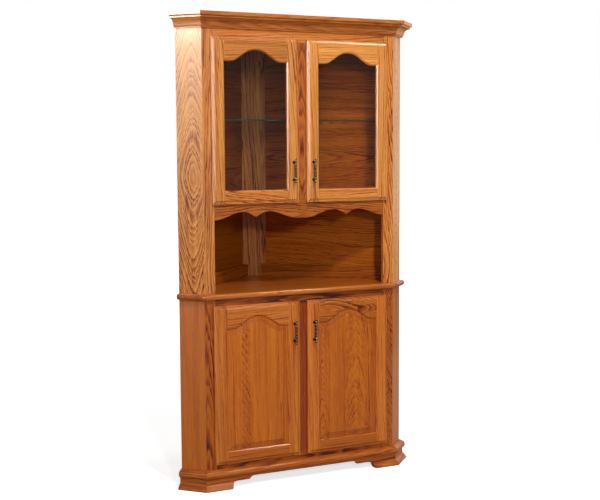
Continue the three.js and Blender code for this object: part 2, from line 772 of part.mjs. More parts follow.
function panelDoorFrame(door) {
  const grooveBack = DOOR_GAP + PANEL_BACK - GROOVE_CLEARANCE;
  const grooveFront = DOOR_GAP + PANEL_BACK + PANEL_TONGUE + GROOVE_CLEARANCE;
  const outline = archOutline(door, -PANEL_IN_GROOVE - GROOVE_DEPTH_CLEARANCE);
  const groove = solidOf(layered([{ outline, out: grooveBack }, { outline, out: grooveFront }]));
  let frame = doorBlock(door).subtract(framedOpening(door)).subtract(groove);
  for (const height of hingeHeights(door)) frame = frame.subtract(hingePocket(height));
  return frame;
}

function raisedPanel(door) {
  const back = DOOR_GAP + PANEL_BACK;
  const tongue = back + PANEL_TONGUE;
  const field = DOOR_FACE - PANEL_FIELD_DROP;
  const layers = [
    [-PANEL_IN_GROOVE, back],
    [-PANEL_IN_GROOVE, tongue],
    [0, tongue],
    [PANEL_BEVEL / 2, tongue + PANEL_BEVEL_RISE / 3],
    [PANEL_BEVEL, tongue + PANEL_BEVEL_RISE],
    [PANEL_BEVEL, field - PANEL_STEP],
    [PANEL_BEVEL + PANEL_STEP, field],
  ];
  return layered(layers.map(([inset, out]) => ({ outline: archOutline(door, inset), out })));
}

function glazedDoorFrame(door) {
  const grooveBack = DOOR_GAP + GLASS_BACK - GROOVE_CLEARANCE;
  const grooveFront = DOOR_GAP + GLASS_BACK + GLASS + GROOVE_CLEARANCE;
  const groove = glassBlock(door, GLASS_IN_GROOVE + GROOVE_DEPTH_CLEARANCE, grooveBack, grooveFront);
  const rearOpening = glassBlock(door, 0, -CUT_OVERRUN, grooveBack);
  let frame = doorBlock(door).subtract(framedOpening(door));
  frame = frame.subtract(solidOf(groove)).subtract(solidOf(rearOpening));
  for (const height of hingeHeights(door)) frame = frame.subtract(hingePocket(height));
  return frame;
}

// The straight-sided space behind the arch, grown by a margin.
function glassBlock(door, margin, back, front) {
  return block(
    WINDOW_LEFT - margin,
    WINDOW_RIGHT + margin,
    -front,
    -back,
    door.bottom + DOOR_STILE - margin,
    door.top - DOOR_TOP_RAIL + ARCH_RISE + margin,
  );
}

function glassPane(door) {
  const back = DOOR_GAP + GLASS_BACK;
  return glassBlock(door, GLASS_IN_GROOVE, back, back + GLASS);
}

// Concealed hinge: the cup is let into the door, and the arm is screwed to the edge of the face frame.

function hingeCup(height) {
  const rim = DOOR_GAP - CUP_RIM;
  const bottom = DOOR_GAP + CUP_DEPTH;
  const flangeRight = OPENING_HALF - CUP_RIM;
  const at = (out) => new THREE.Vector3(CUP_X, -out, height);
  const body = solidOf(rod(CUP_RADIUS, bottom - rim, at(rim), FORWARD, CUP_SIDES));
  const flange = block(
    flangeRight - CUP_FLANGE_WIDTH,
    flangeRight,
    -DOOR_GAP,
    -rim,
    height - CUP_FLANGE_HEIGHT / 2,
    height + CUP_FLANGE_HEIGHT / 2,
  );
  const ears = block(
    CUP_X,
    PIVOT_X + EAR_END,
    -bottom,
    -DOOR_GAP,
    height - EAR_HALF,
    height + EAR_HALF,
  );
  const hollowDepth = bottom - CUP_WALL + CUT_OVERRUN;
  const hollow = rod(CUP_RADIUS - CUP_WALL, hollowDepth, at(-CUT_OVERRUN), FORWARD, CUP_SIDES);
  const slotHalf = ARM_HEIGHT / 2 + ARM_CLEARANCE;
  const slot = block(
    CUP_X + CUP_RADIUS / 2,
    PIVOT_X + EAR_END + CUT_OVERRUN,
    -(bottom + CUT_OVERRUN),
    CUT_OVERRUN,
    height - slotHalf,
    height + slotHalf,
  );
  const pinStart = new THREE.Vector3(PIVOT_X, -PIVOT_OUT, height - EAR_HALF - CUT_OVERRUN);
  const pinHole = rod(
    PIN_RADIUS + PIN_CLEARANCE,
    2 * (EAR_HALF + CUT_OVERRUN),
    pinStart,
    UPWARD,
    PIN_SIDES,
  );
  return body
    .add(solidOf(flange))
    .add(solidOf(ears))
    .subtract(solidOf(hollow))
    .subtract(solidOf(slot))
    .subtract(solidOf(pinHole));
}

function hingeArm(height) {
  const armHalf = ARM_HEIGHT / 2;
  const plateOuter = OPENING_HALF - GLUE_LINE;
  const plateInner = plateOuter - ARM_THICKNESS;
  const tip = PIVOT_OUT + ARM_THICKNESS / 2;
  const at = (z) => new THREE.Vector3(PIVOT_X, -PIVOT_OUT, z);
  const knuckle = rod(KNUCKLE_RADIUS, ARM_HEIGHT, at(height - armHalf), UPWARD, PIN_SIDES);
  const pin = rod(PIN_RADIUS, 2 * EAR_HALF, at(height - EAR_HALF), UPWARD, PIN_SIDES);
  const tongue = block(
    plateInner,
    PIVOT_X,
    -tip,
    ARM_THICKNESS - tip,
    height - armHalf,
    height + armHalf,
  );
  const leg = block(
    plateInner,
    plateOuter,
    -tip,
    ARM_PLATE_FROM_FACE + ARM_THICKNESS,
    height - armHalf,
    height + armHalf,
  );
  const plate = block(
    plateInner,
    plateOuter,
    ARM_PLATE_FROM_FACE,
    ARM_PLATE_FROM_FACE + ARM_PLATE_DEPTH,
    height - ARM_PLATE_HEIGHT / 2,
    height + ARM_PLATE_HEIGHT / 2,
  );
  let arm = [pin, tongue, leg, plate].reduce((whole, piece) => whole.add(solidOf(piece)), solidOf(knuckle));
  for (const side of [-1, 1]) {
    const head = new THREE.Vector3(
      plateInner - SCREW_HEAD_THICKNESS,
      ARM_PLATE_FROM_FACE + ARM_PLATE_DEPTH / 2,
      height + side * (ARM_PLATE_HEIGHT / 2 - SCREW_FROM_END),
    );
    const length = SCREW_HEAD_THICKNESS + ARM_THICKNESS / 2;
    arm = arm.add(solidOf(rod(SCREW_HEAD_RADIUS, length, head, RIGHTWARD, PIN_SIDES)));
  }
  return arm;
}

// Spindle pull: half of the turned profile, from the middle to the tip, in shares of half its length
// along it and of the ring radius across it.
const SPINDLE_SHARES = [
  [0, 0.78],
  [0.05, 0.78],
  [0.08, 0.52],
  [0.3, 0.84],
  [0.5, 0.5],
  [0.56, 0.95],
  [0.63, 0.95],
  [0.66, 0.72],
  [0.79, 0.72],
  [0.81, 1],
  [0.87, 1],
  [0.89, 0.5],
  [0.94, 0.66],
  [1, 0],
];

function pull(middle) {
  const x = DOOR_INNER + DOOR_STILE / 2;
  const half = PULL_LENGTH / 2;
  const upper = SPINDLE_SHARES.map(([along, across]) => [half * along, PULL_RING_RADIUS * across]);
  const lower = upper.slice(1).map(([along, radius]) => [-along, radius]).reverse();
  const axisOut = DOOR_FACE + PULL_REACH;
  const centre = new THREE.Vector3(x, -axisOut, middle);
  let solid = solidOf(turned([...lower, ...upper], centre, UPWARD, PULL_SIDES));
  const reach = PULL_REACH - PULL_SEAT;
  const post = [
    [0, 0],
    [0, PULL_FOOT_RADIUS],
    [PULL_FOOT_THICKNESS, PULL_FOOT_RADIUS],
    [2 * PULL_FOOT_THICKNESS, PULL_POST_RADIUS],
    [reach, PULL_POST_RADIUS],
    [reach, 0],
  ];
  for (const side of [-1, 1]) {
    const foot = new THREE.Vector3(x, -(DOOR_FACE + PULL_SEAT), middle + (side * PULL_CENTRES) / 2);
    solid = solid.add(solidOf(turned(post, foot, FORWARD, PULL_SIDES)));
  }
  return solid;
}

// A peg for the glass shelf, rooted in a board and standing out of its inner face.
function shelfPeg(at, direction, root) {
  const start = new THREE.Vector3(
    at[0] - direction.x * root,
    at[1] - direction.y * root,
    GLASS_SHELF_TOP - GLASS_SHELF_THICKNESS - SHELF_PIN_SEAT - SHELF_PIN_RADIUS,
  );
  return solidOf(rod(SHELF_PIN_RADIUS, root + SHELF_PIN_LENGTH, start, direction, PIN_SIDES));
}

function hutchSide() {
  const shelfTops = [HUTCH_DECK_TOP, HUTCH_TOP_UNDERSIDE + SHELF_BOARD];
  const inward = new THREE.Vector3(-DIAGONAL, DIAGONAL, 0);
  const peg = shelfPeg(onReturn(SIDE_PIN_INSET, BOARD), inward, BOARD / 2);
  return sideBoard(COUNTER_TOP, CARCASS_TOP, shelfTops).add(peg);
}

function hutchBack() {
  const inward = new THREE.Vector3(-DIAGONAL, -DIAGONAL, 0);
  const peg = shelfPeg(onWall(BACK_PIN_INSET, BACK_PANEL), inward, BACK_PANEL / 2);
  return solidOf(upright(backPanelOutline(), COUNTER_TOP, CARCASS_TOP)).add(peg);
}

function glassShelf() {
  const outline = levelOutline(
    BOARD + GLASS_SHELF_SETBACK,
    BOARD + GLASS_CLEARANCE,
    BACK_PANEL + GLASS_CLEARANCE,
    POST_FACE_Y - GLASS_CLEARANCE,
  );
  return upright(outline, GLASS_SHELF_TOP - GLASS_SHELF_THICKNESS, GLASS_SHELF_TOP);
}

// The scene graph. The origin is on the floor, under the middle of the whole cupboard's box.
const cupboard = new THREE.Group();
cupboard.position.y = (CROWN_OUT - BACK_Y) / 2;
const base = new THREE.Group();
const hutch = new THREE.Group();
const doors = new THREE.Group();
cupboard.add(base, hutch, doors);

function place(group, name, shape, material) {
  const geometry = shape.isBufferGeometry ? shape : geometryOf(shape);
  geometry.computeVertexNormals();
  const mesh = new THREE.Mesh(geometry, material);
  mesh.name = name;
  group.add(mesh);
  return mesh;
}

// The same shape on the right and, mirrored, on the left.
function placePair(group, nameFor, shape, material) {
  const right = place(group, nameFor("right"), shape, material);
  const left = new THREE.Mesh(right.geometry, material);
  left.name = nameFor("left");
  left.scale.x = -1;
  group.add(left);
}

const RAIL_HALF = OPENING_HALF - GLUE_LINE;

function rail(bottom, top) {
  return block(-RAIL_HALF, RAIL_HALF, 0, BOARD, bottom, top);
}

function mullion(bottom, top) {
  return block(-MULLION_HALF, MULLION_HALF, 0, BOARD, bottom + GLUE_LINE, top - GLUE_LINE);
}

// Base
const baseSide = sideBoard(0, COUNTER_UNDERSIDE, [BASE_FLOOR_TOP, BASE_SHELF_TOP]);
placePair(base, (side) => `base_side_${side}`, baseSide, OAK);
const baseBack = upright(backPanelOutline(), BACK_LIFT, COUNTER_UNDERSIDE);
placePair(base, (side) => `base_back_${side}`, baseBack, DARK_OAK);
place(base, "base_corner_post", upright(postOutline(), 0, COUNTER_UNDERSIDE), OAK);
place(base, "base_floor", shelfBoard(BASE_FLOOR_TOP, 0), DARK_OAK);
place(base, "base_shelf", shelfBoard(BASE_SHELF_TOP, BASE_SHELF_SETBACK), DARK_OAK);
placePair(base, (side) => `base_stile_${side}`, upright(stileOutline(), 0, COUNTER_UNDERSIDE), OAK);
place(base, "base_mullion", mullion(BASE_OPENING_BOTTOM, BASE_OPENING_TOP), OAK);
place(base, "base_top_rail", rail(BASE_OPENING_TOP, COUNTER_UNDERSIDE), OAK);
place(base, "base_bottom_rail", rail(BASE_RAIL_BOTTOM, BASE_OPENING_BOTTOM), OAK);
place(base, "plinth_front", plinthFront(), OAK);
placePair(base, (side) => `plinth_${side}`, plinthReturn(), OAK);
place(base, "counter_top", counter(), OAK);

// Hutch
const hutchStile = upright(stileOutline(), COUNTER_TOP, CARCASS_TOP);
placePair(hutch, (side) => `hutch_side_${side}`, hutchSide(), OAK);
placePair(hutch, (side) => `hutch_back_${side}`, hutchBack(), DARK_OAK);
place(hutch, "hutch_corner_post", upright(postOutline(), COUNTER_TOP, CARCASS_TOP), OAK);
place(hutch, "hutch_deck", shelfBoard(HUTCH_DECK_TOP, 0), DARK_OAK);
place(hutch, "hutch_top", shelfBoard(HUTCH_TOP_UNDERSIDE + SHELF_BOARD, 0), DARK_OAK);
place(hutch, "glass_shelf", glassShelf(), CLEAR_GLASS);
placePair(hutch, (side) => `hutch_stile_${side}`, hutchStile, OAK);
place(hutch, "hutch_mullion", mullion(HUTCH_OPENING_BOTTOM, HUTCH_OPENING_TOP), OAK);
place(hutch, "hutch_top_rail", rail(HUTCH_OPENING_TOP, CARCASS_TOP), OAK);
place(hutch, "hutch_valance", valance(), OAK);
place(hutch, "crown", crown(), OAK);
const cleat = upright(cleatOutline(), COUNTER_TOP, COUNTER_TOP + CLEAT_HEIGHT);
placePair(hutch, (side) => `counter_cleat_${side}`, cleat, OAK);

// Doors, with their glass or panels, pulls and hinges
function placeDoor(kind, door, frame, inset, insetName, insetMaterial, pullMiddle) {
  placePair(doors, (side) => `${kind}_door_${side}_frame`, frame, OAK);
  placePair(doors, (side) => `${kind}_door_${side}_${insetName}`, inset, insetMaterial);
  placePair(doors, (side) => `${kind}_door_${side}_pull`, pull(pullMiddle), ANTIQUE_BRASS);
  const [lower, upper] = hingeHeights(door);
  for (const [end, height] of [["lower", lower], ["upper", upper]]) {
    placePair(doors, (side) => `${kind}_door_${side}_${end}_hinge_cup`, hingeCup(height), STEEL);
    placePair(doors, (side) => `${kind}_door_${side}_${end}_hinge_arm`, hingeArm(height), STEEL);
  }
}

placeDoor(
  "glazed",
  HUTCH_DOOR,
  glazedDoorFrame(HUTCH_DOOR),
  glassPane(HUTCH_DOOR),
  "glass",
  CLEAR_GLASS,
  HUTCH_DOOR.bottom + PULL_FROM_END,
);
placeDoor(
  "panel",
  BASE_DOOR,
  panelDoorFrame(BASE_DOOR),
  raisedPanel(BASE_DOOR),
  "panel",
  OAK,
  BASE_DOOR.top - PULL_FROM_END,
);

export default cupboard;
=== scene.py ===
import math
from collections import namedtuple

import bmesh
import bpy
from mathutils import Matrix, Vector


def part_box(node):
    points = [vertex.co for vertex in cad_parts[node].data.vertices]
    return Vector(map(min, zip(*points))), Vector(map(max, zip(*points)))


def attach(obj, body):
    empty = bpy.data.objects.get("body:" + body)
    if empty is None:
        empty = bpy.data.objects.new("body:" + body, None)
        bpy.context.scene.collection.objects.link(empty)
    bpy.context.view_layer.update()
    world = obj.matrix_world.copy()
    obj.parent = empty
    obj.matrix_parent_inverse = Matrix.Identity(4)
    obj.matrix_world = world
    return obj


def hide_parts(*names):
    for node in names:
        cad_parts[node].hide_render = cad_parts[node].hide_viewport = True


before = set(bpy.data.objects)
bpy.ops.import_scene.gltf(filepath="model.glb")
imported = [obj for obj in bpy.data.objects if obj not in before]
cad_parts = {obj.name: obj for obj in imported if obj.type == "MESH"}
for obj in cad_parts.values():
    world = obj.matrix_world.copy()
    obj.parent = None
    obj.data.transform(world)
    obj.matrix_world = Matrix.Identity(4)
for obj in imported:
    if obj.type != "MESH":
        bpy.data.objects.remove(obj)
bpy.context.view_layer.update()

# Corner cupboard in stained oak: two glazed doors over an open niche, two panel doors below.
# Metres, +Z up, +Y back into the room corner.

# Directions
DIAGONAL = math.sqrt(0.5)
UP = Vector((0, 0, 1))
RIGHT = Vector((1, 0, 0))
FORWARD = Vector((0, -1, 0))
LEFT_OUT = Vector((-DIAGONAL, -DIAGONAL, 0))  # out of the left return, away from the right wall
RIGHT_OUT = Vector((DIAGONAL, -DIAGONAL, 0))
TO_RIGHT_CORNER = Vector((DIAGONAL, DIAGONAL, 0))

# Grain direction and face of each kind of board
FRONT_UPRIGHT = (UP, FORWARD)
FRONT_RAIL = (RIGHT, FORWARD)
LEVEL_BOARD = (RIGHT, UP)
LEFT_RETURN = (UP, LEFT_OUT)
RIGHT_RETURN = (UP, RIGHT_OUT)
LEFT_RETURN_RAIL = (RIGHT_OUT, LEFT_OUT)
RIGHT_RETURN_RAIL = (TO_RIGHT_CORNER, RIGHT_OUT)
LEFT_BACK = (TO_RIGHT_CORNER, RIGHT_OUT)
RIGHT_BACK = (RIGHT_OUT, LEFT_OUT)

# Edges
BOARD_EDGE = 0.0009
DOOR_EDGE = 0.0004
METAL_EDGE = 0.0003
GLASS_EDGE = 0.0005
SAME_POINT = 0.00001
ON_THE_CUT = SAME_POINT / 10  # a point this near the saw's plane lies on it
FLAT_ANGLE = math.radians(0.6)
CRISP_ANGLE = math.radians(5)
SHARP_ANGLE = math.radians(28)
FLAT_FACE_WEIGHT = 80  # how far the large faces settle the shading, out of 100

# Doors
PANEL_DOORS = ("panel_door_left", "panel_door_right")
GLAZED_DOORS = ("glazed_door_left", "glazed_door_right")
DOOR_STILE = 0.057
JOINT_OFFSET = 0.0002  # the rails are cut this far inside the opening

# Pulls
PULL_LENGTH = 0.104
PULL_CENTRES = 0.076
PULL_RING = 0.0058  # radius of the rings
PULL_FOOT = 0.0062  # radius of a post where it meets the door
PULL_STEPS = 40

# Crown
MITRE = math.radians(67.5)  # half of the corner between the front and a return

# Camera
PHOTO_WIDTH = 600
CAMERA_PLACE = Vector((-2.01066, -4.57488, 1.46485))
CAMERA_YAW = math.radians(24.853)
CAMERA_PITCH = math.radians(5.321)
CAMERA_ROLL = math.radians(-0.297)
CAMERA_FOCUS = 1086.26  # pixels
SENSOR = 36.0


# Shader nodes


class Wire:
    """One output of a node. A sum written with it adds Math nodes."""

    def __init__(self, finish, node, output=0):
        self.finish = finish
        self.node = node
        self.output = output

    def other(self, output):
        return Wire(self.finish, self.node, output)

    def __add__(self, value):
        return self.finish.math("ADD", self, value)

    def __radd__(self, value):
        return self.finish.math("ADD", value, self)

    def __sub__(self, value):
        return self.finish.math("SUBTRACT", self, value)

    def __rsub__(self, value):
        return self.finish.math("SUBTRACT", value, self)

    def __mul__(self, value):
        return self.finish.math("MULTIPLY", self, value)

    def __rmul__(self, value):
        return self.finish.math("MULTIPLY", value, self)

    def __truediv__(self, value):
        return self.finish.math("DIVIDE", self, value)

    def __rtruediv__(self, value):
        return self.finish.math("DIVIDE", value, self)

    def __pow__(self, value):
        return self.finish.math("POWER", self, value)

    def __rpow__(self, value):
        return self.finish.math("POWER", value, self)


class Finish:
    """A material, or the world, made from nodes one by one."""

    def __init__(self, name, owner=None):
        self.owner = owner or bpy.data.materials.new(name)
        self.owner.use_nodes = True
        self.tree = self.owner.node_tree
        self.tree.nodes.clear()

    def node(self, kind, settings, sockets, output=0):
        """Adds a node: first its settings, then the value or the wire of each socket."""
        made = self.tree.nodes.new(kind)
        for name, value in settings.items():
            if name == "stops":
                set_stops(made.color_ramp, value)
            else:
                setattr(made, name, value)
        for key, value in sockets.items():
            if isinstance(value, Wire):
                self.tree.links.new(value.node.outputs[value.output], made.inputs[key])
            else:
                made.inputs[key].default_value = value
        return Wire(self, made, output)

    def math(self, operation, *values):
        return self.node("ShaderNodeMath", {"operation": operation}, dict(enumerate(values)))

    def soft_step(self, value, low, high):
        """0 up to low and 1 from high, with a soft change between them."""
        settings = {"interpolation_type": "SMOOTHSTEP"}
        return self.node("ShaderNodeMapRange", settings, {"Value": value, "From Min": low, "From Max": high})

    def cloud(self, place, spots, seed, detail=2.0):
        """Noise around 0, with its own number of spots per metre in each direction."""
        moved = self.node(
            "ShaderNodeVectorMath",
            {"operation": "MULTIPLY_ADD"},
            {0: place, 1: spots, 2: (seed, seed, seed)},
        )
        sockets = {"Vector": moved, "Scale": 1.0, "Detail": detail}
        return self.node("ShaderNodeTexNoise", {}, sockets) - 0.5

    def ramp(self, value, stops):
        return self.node("ShaderNodeValToRGB", {"stops": stops}, {"Fac": value})

    def mix(self, factor, first, second, kind="MIX"):
        """A colour between two, or their product."""
        settings = {"data_type": "RGBA", "blend_type": kind, "clamp_factor": True}
        return self.node("ShaderNodeMix", settings, {0: factor, 6: first, 7: second}, 2)

    def bump(self, height, strength, depth):
        return self.node("ShaderNodeBump", {}, {"Strength": strength, "Distance": depth, "Height": height})

    def blend(self, factor, first, second):
        return self.node("ShaderNodeMixShader", {}, {0: factor, 1: first, 2: second})

    def end(self, surface, kind="ShaderNodeOutputMaterial"):
        self.node(kind, {}, {"Surface": surface})
        return self.owner


def set_stops(ramp, stops):
    while len(ramp.elements) < len(stops):
        ramp.elements.new(1.0)
    for element, (position, colour) in zip(ramp.elements, stops):
        element.position = position
        element.color = (*colour, 1.0)


def linear(red, green, blue):
    """A colour by the curve of a screen, from 0 to 255, as the renderer counts light."""

    def channel(value):
        share = value / 255
        if share <= 0.04045:
            return share / 12.92
        return ((share + 0.055) / 1.055) ** 2.4

    return (channel(red), channel(green), channel(blue))


def grey(light):
    return (light, light, light, 1)


# Oak. Every board is cut from its own tree: rings round a heart that lies behind the face.

# heart: from the middle of the board to the tree's heart, across and behind the face
# eye: where along the board the rings close, and lean: how fast they run out of the face from there
# ring: from one year to the next; bold: how dark the early wood is; tone: how light the board is
Stave = namedtuple("Stave", "heart eye lean ring bold tone")
# glue_lines: where the staves meet, across the board; sway: how far the heart wanders
# swirl and flame: how far broad bends and small tongues push the rings, in rings
# slope: how much the grain runs across the board; red: share of reddish stain
# fade: how much lighter the board is painted towards its far end, per metre: painted light, as from a lamp
# that lights the top of the board more
Wood = namedtuple("Wood", "staves glue_lines sway swirl flame slope red seed fade", defaults=(0.0,))

# spots: how many spots of noise a metre has, across, along and out of the board
# shift: what the seed changes by, so that no two kinds of mark in a board are alike
# detail: how many finer layers of noise lie in the spots
Marks = namedtuple("Marks", "spots shift detail")
HEART_WANDER = Marks((1.1, 2.2, 1.1), 3.7, 1.0)
BENDS = Marks((15, 3.4, 15), 8.1, 1.0)
TONGUES = Marks((130, 12, 130), 1.3, 2.0)
FLECKS = Marks((380, 16, 380), 6.4, 2.0)
PATCHES = Marks((26, 3.5, 26), 2.9, 1.0)
FIBRES = Marks((1100, 24, 1100), 5.2, 1.0)
STREAKS = Marks((120, 3, 120), 9.2, 2.0)
BANDS = Marks((38, 1.3, 38), 4.4, 1.0)
PORES = Marks((2600, 90, 2600), 0.0, 0.0)
HUES = Marks((60, 1.1, 60), 7.3, 1.0)

# Rings
EYE_ROUND = 0.03  # how blunt the arches are where the rings close
UNEVEN_YEARS = 1.6  # how far wide and narrow years push the rings, in rings
UNEVEN_RUN = 0.4  # spots of it for each ring
EARLY_RISE = 0.25  # share of a ring in which the early wood comes up
EARLY_FALL = 1.3  # how steeply it dies away towards the late wood
YEAR_LEAST = 0.45  # how bold the faintest year is
YEAR_CONTRAST = 0.7  # how much bolder the boldest is
FLECK_CONTRAST = 2.6
PATCH_CONTRAST = 1.8
PORE_EDGE = (0.08, 0.2)  # noise at which a pore begins and at which it is full
LATE_PORES = 0.25  # pores in the late wood, as a share of those in the early wood

# How much each kind of mark darkens the wood
FIBRE_DARK = 0.35
STREAK_DARK = 0.55
BAND_DARK = 0.4
PORE_DARK = 0.22
PLAIN_DARK = 0.15
GLUE_DARK = 0.25
GLUE_LINE = 0.0004

# Colours of the wood by darkness
OAK_TONES = (
    (0.0, (236, 164, 84)),
    (0.34, (211, 130, 54)),
    (0.78, (146, 66, 22)),
    (1.0, (84, 33, 11)),
)
RED_GREEN_SHARE = 0.3  # green that a full share of reddish stain takes away
RED_BLUE_SHARE = 0.75
GOLDEN = (1.05, 1.04, 0.9, 1)  # the hue of a board drifts between these two
RUSSET = (0.99, 0.9, 0.88, 1)
HUE_CONTRAST = 2.4
SOAKED = (0.5, 0.36, 0.3, 1)  # end grain takes more stain
END_GRAIN = 0.6
DOOR_END_GRAIN = 0.25
PANEL_END_GRAIN = 0.38
END_GRAIN_TURN = (0.04, 0.17)  # how far a face turns to the grain before it counts as end grain

# Surface of the wood
WOOD_ROUGHNESS = 0.4
PORE_ROUGHNESS = 0.12
FIBRE_ROUGHNESS = 0.1
WOOD_SHINE = 0.3
LACQUER = 0.4
LACQUER_ROUGHNESS = 0.14
OPEN_GRAIN = 0.35
OPEN_GRAIN_DEPTH = 0.00012
PORE_DEPTH = 0.8  # share of that depth
EARLY_DEPTH = 0.35
INNER_FINISH = {"lacquer": 0.0, "shine": 0.06}  # the inside has no lacquer


def stained(colour, tone, red):
    """A colour of the wood, as light and as red as the board is."""
    shares = (1, 1 - RED_GREEN_SHARE * red, 1 - RED_BLUE_SHARE * red)
    return tuple(min(1, tone * share * light) for share, light in zip(shares, linear(*colour)))


def oak_marks(oak, place, marks, wood):
    return oak.cloud(place, marks.spots, wood.seed + marks.shift, marks.detail)


def by_stave(crossed, values):
    """A number for each stave. It changes where a glue line is crossed."""
    result = values[0]
    for passed, before, after in zip(crossed, values, values[1:]):
        if after != before:
            result = passed * (after - before) + result
    return result


def ring_count(oak, place, axes, crossed, wood):
    """How many rings lie between the heart of the tree and each point of the board."""
    along = axes.other("Y")
    staves = wood.staves
    heart_across = by_stave(crossed, [s.heart[0] for s in staves])
    heart_behind = by_stave(crossed, [s.heart[1] for s in staves])
    lean = by_stave(crossed, [s.lean for s in staves])
    wander = oak_marks(oak, place, HEART_WANDER, wood) * (2 * wood.sway)
    from_eye = along - by_stave(crossed, [s.eye for s in staves])
    away = oak.math("SQRT", from_eye * from_eye + EYE_ROUND**2) * lean
    depth = axes.other("Z") + heart_behind
    side = axes.other("X") + along * wood.slope - heart_across + wander
    radius = oak.math("SQRT", side * side + depth * depth)
    bends = oak_marks(oak, place, BENDS, wood) * (2 * wood.swirl)
    tongues = oak_marks(oak, place, TONGUES, wood) * (2 * wood.flame)
    count = (radius + away) / by_stave(crossed, [s.ring for s in staves]) + bends + tongues
    years = {"W": count * UNEVEN_RUN + wood.seed, "Scale": 1.0}
    uneven = oak.node("ShaderNodeTexNoise", {"noise_dimensions": "1D"}, years)
    return uneven * UNEVEN_YEARS + count


def early_wood(oak, place, count, wood):
    """The porous, darker part of each ring."""
    ring = oak.math("FRACT", count)
    flecks = oak_marks(oak, place, FLECKS, wood) * FLECK_CONTRAST + 1
    return oak.soft_step(ring, 0.0, EARLY_RISE) * (1 - ring) ** EARLY_FALL * flecks


def figure(oak, place, count, early, crossed, wood):
    """The rings as they show, bolder in some years and patches than in others."""
    whole_years = oak.math("FLOOR", count)
    year = oak.node("ShaderNodeTexWhiteNoise", {"noise_dimensions": "1D"}, {"W": whole_years})
    patches = oak_marks(oak, place, PATCHES, wood) * PATCH_CONTRAST + 1
    bold = by_stave(crossed, [s.bold for s in wood.staves])
    return early * (year * YEAR_CONTRAST + YEAR_LEAST) * patches * bold


def glue_marks(oak, axes, wood):
    """A thin dark line where two staves meet."""
    marks = 0
    for line in wood.glue_lines:
        marks = oak.math("COMPARE", axes, line, GLUE_LINE) * GLUE_DARK + marks
    return marks


def end_grain_share(oak, normal, along):
    """How far the surface is cut across the grain."""
    facing = oak.node("ShaderNodeVectorMath", {"operation": "DOT_PRODUCT"}, {0: normal, 1: along}, "Value")
    return oak.soft_step(oak.math("ABSOLUTE", facing), *END_GRAIN_TURN)


def oak_board(name, middle, way, wood, lacquer=LACQUER, shine=WOOD_SHINE, end_grain=END_GRAIN):
    """Stained oak for one board, with its figure, pores and fibres."""
    oak = Finish("oak_" + name)
    along, out = way
    turn = Matrix((along.cross(out), along, out))
    coordinates = oak.node("ShaderNodeTexCoord", {}, {}, "Object")
    place = oak.node(
        "ShaderNodeMapping",
        {"vector_type": "POINT"},
        {"Vector": coordinates, "Location": -(turn @ middle), "Rotation": turn.to_euler()},
    )
    axes = oak.node("ShaderNodeSeparateXYZ", {}, {"Vector": place})
    crossed = [oak.math("GREATER_THAN", axes, line) for line in wood.glue_lines]
    count = ring_count(oak, place, axes, crossed, wood)
    early = early_wood(oak, place, count, wood)
    rings = figure(oak, place, count, early, crossed, wood)
    fibres = oak_marks(oak, place, FIBRES, wood)
    streaks = oak_marks(oak, place, STREAKS, wood)
    bands = oak_marks(oak, place, BANDS, wood)
    pores = oak.soft_step(oak_marks(oak, place, PORES, wood), *PORE_EDGE) * (early + LATE_PORES)
    dark = rings + fibres * FIBRE_DARK + streaks * STREAK_DARK + bands * BAND_DARK
    dark = dark + pores * PORE_DARK + PLAIN_DARK
    # Painted light: the board grows lighter towards its far end, which is its top on an upright
    if wood.fade:
        dark = axes.other("Y") * -wood.fade + dark
    tones = [s.tone for s in wood.staves]
    tone = sum(tones) / len(tones)
    if crossed:
        dark = dark + by_stave(crossed, [1 - t / tone for t in tones]) + glue_marks(oak, axes, wood)
    stops = [(position, stained(colour, tone, wood.red)) for position, colour in OAK_TONES]
    tint = oak.mix(oak_marks(oak, place, HUES, wood) * HUE_CONTRAST + 0.5, GOLDEN, RUSSET)
    colour = oak.mix(1.0, oak.ramp(dark, stops), tint, "MULTIPLY")
    soaked = end_grain_share(oak, coordinates.other("Normal"), along) * end_grain
    skin = {
        "Base Color": oak.mix(soaked, colour, SOAKED, "MULTIPLY"),
        "Roughness": pores * PORE_ROUGHNESS + fibres * FIBRE_ROUGHNESS + WOOD_ROUGHNESS,
        "Specular IOR Level": shine,
        "Coat Weight": lacquer,
        "Coat Roughness": LACQUER_ROUGHNESS,
        "Normal": oak.bump(1 - pores * PORE_DEPTH - early * EARLY_DEPTH, OPEN_GRAIN, OPEN_GRAIN_DEPTH),
    }
    return oak.end(oak.node("ShaderNodeBsdfPrincipled", {}, skin))


def quiet(seed, tone=1.0, red=0.0, bold=0.55, ring=0.009, heart=(0.12, 0.06), flame=0.5, slope=0.02):
    """A board with fairly straight grain."""
    stave = Stave(heart, eye=0.9, lean=0.03, ring=ring, bold=bold, tone=tone)
    return Wood([stave], [], sway=0.014, swirl=0.7, flame=flame, slope=slope, red=red, seed=seed)


def flamed(
    seed, heart, eye, lean, tone=1.0, red=0.0, bold=0.9, ring=0.009, swirl=1.2, flame=0.6, slope=0.0, fade=0.0
):
    """A board with arches and flames in its grain."""
    stave = Stave(heart, eye, lean, ring, bold, tone)
    shape = {"sway": 0.008, "swirl": swirl, "flame": flame, "slope": slope}
    return Wood([stave], [], **shape, red=red, seed=seed, fade=fade)
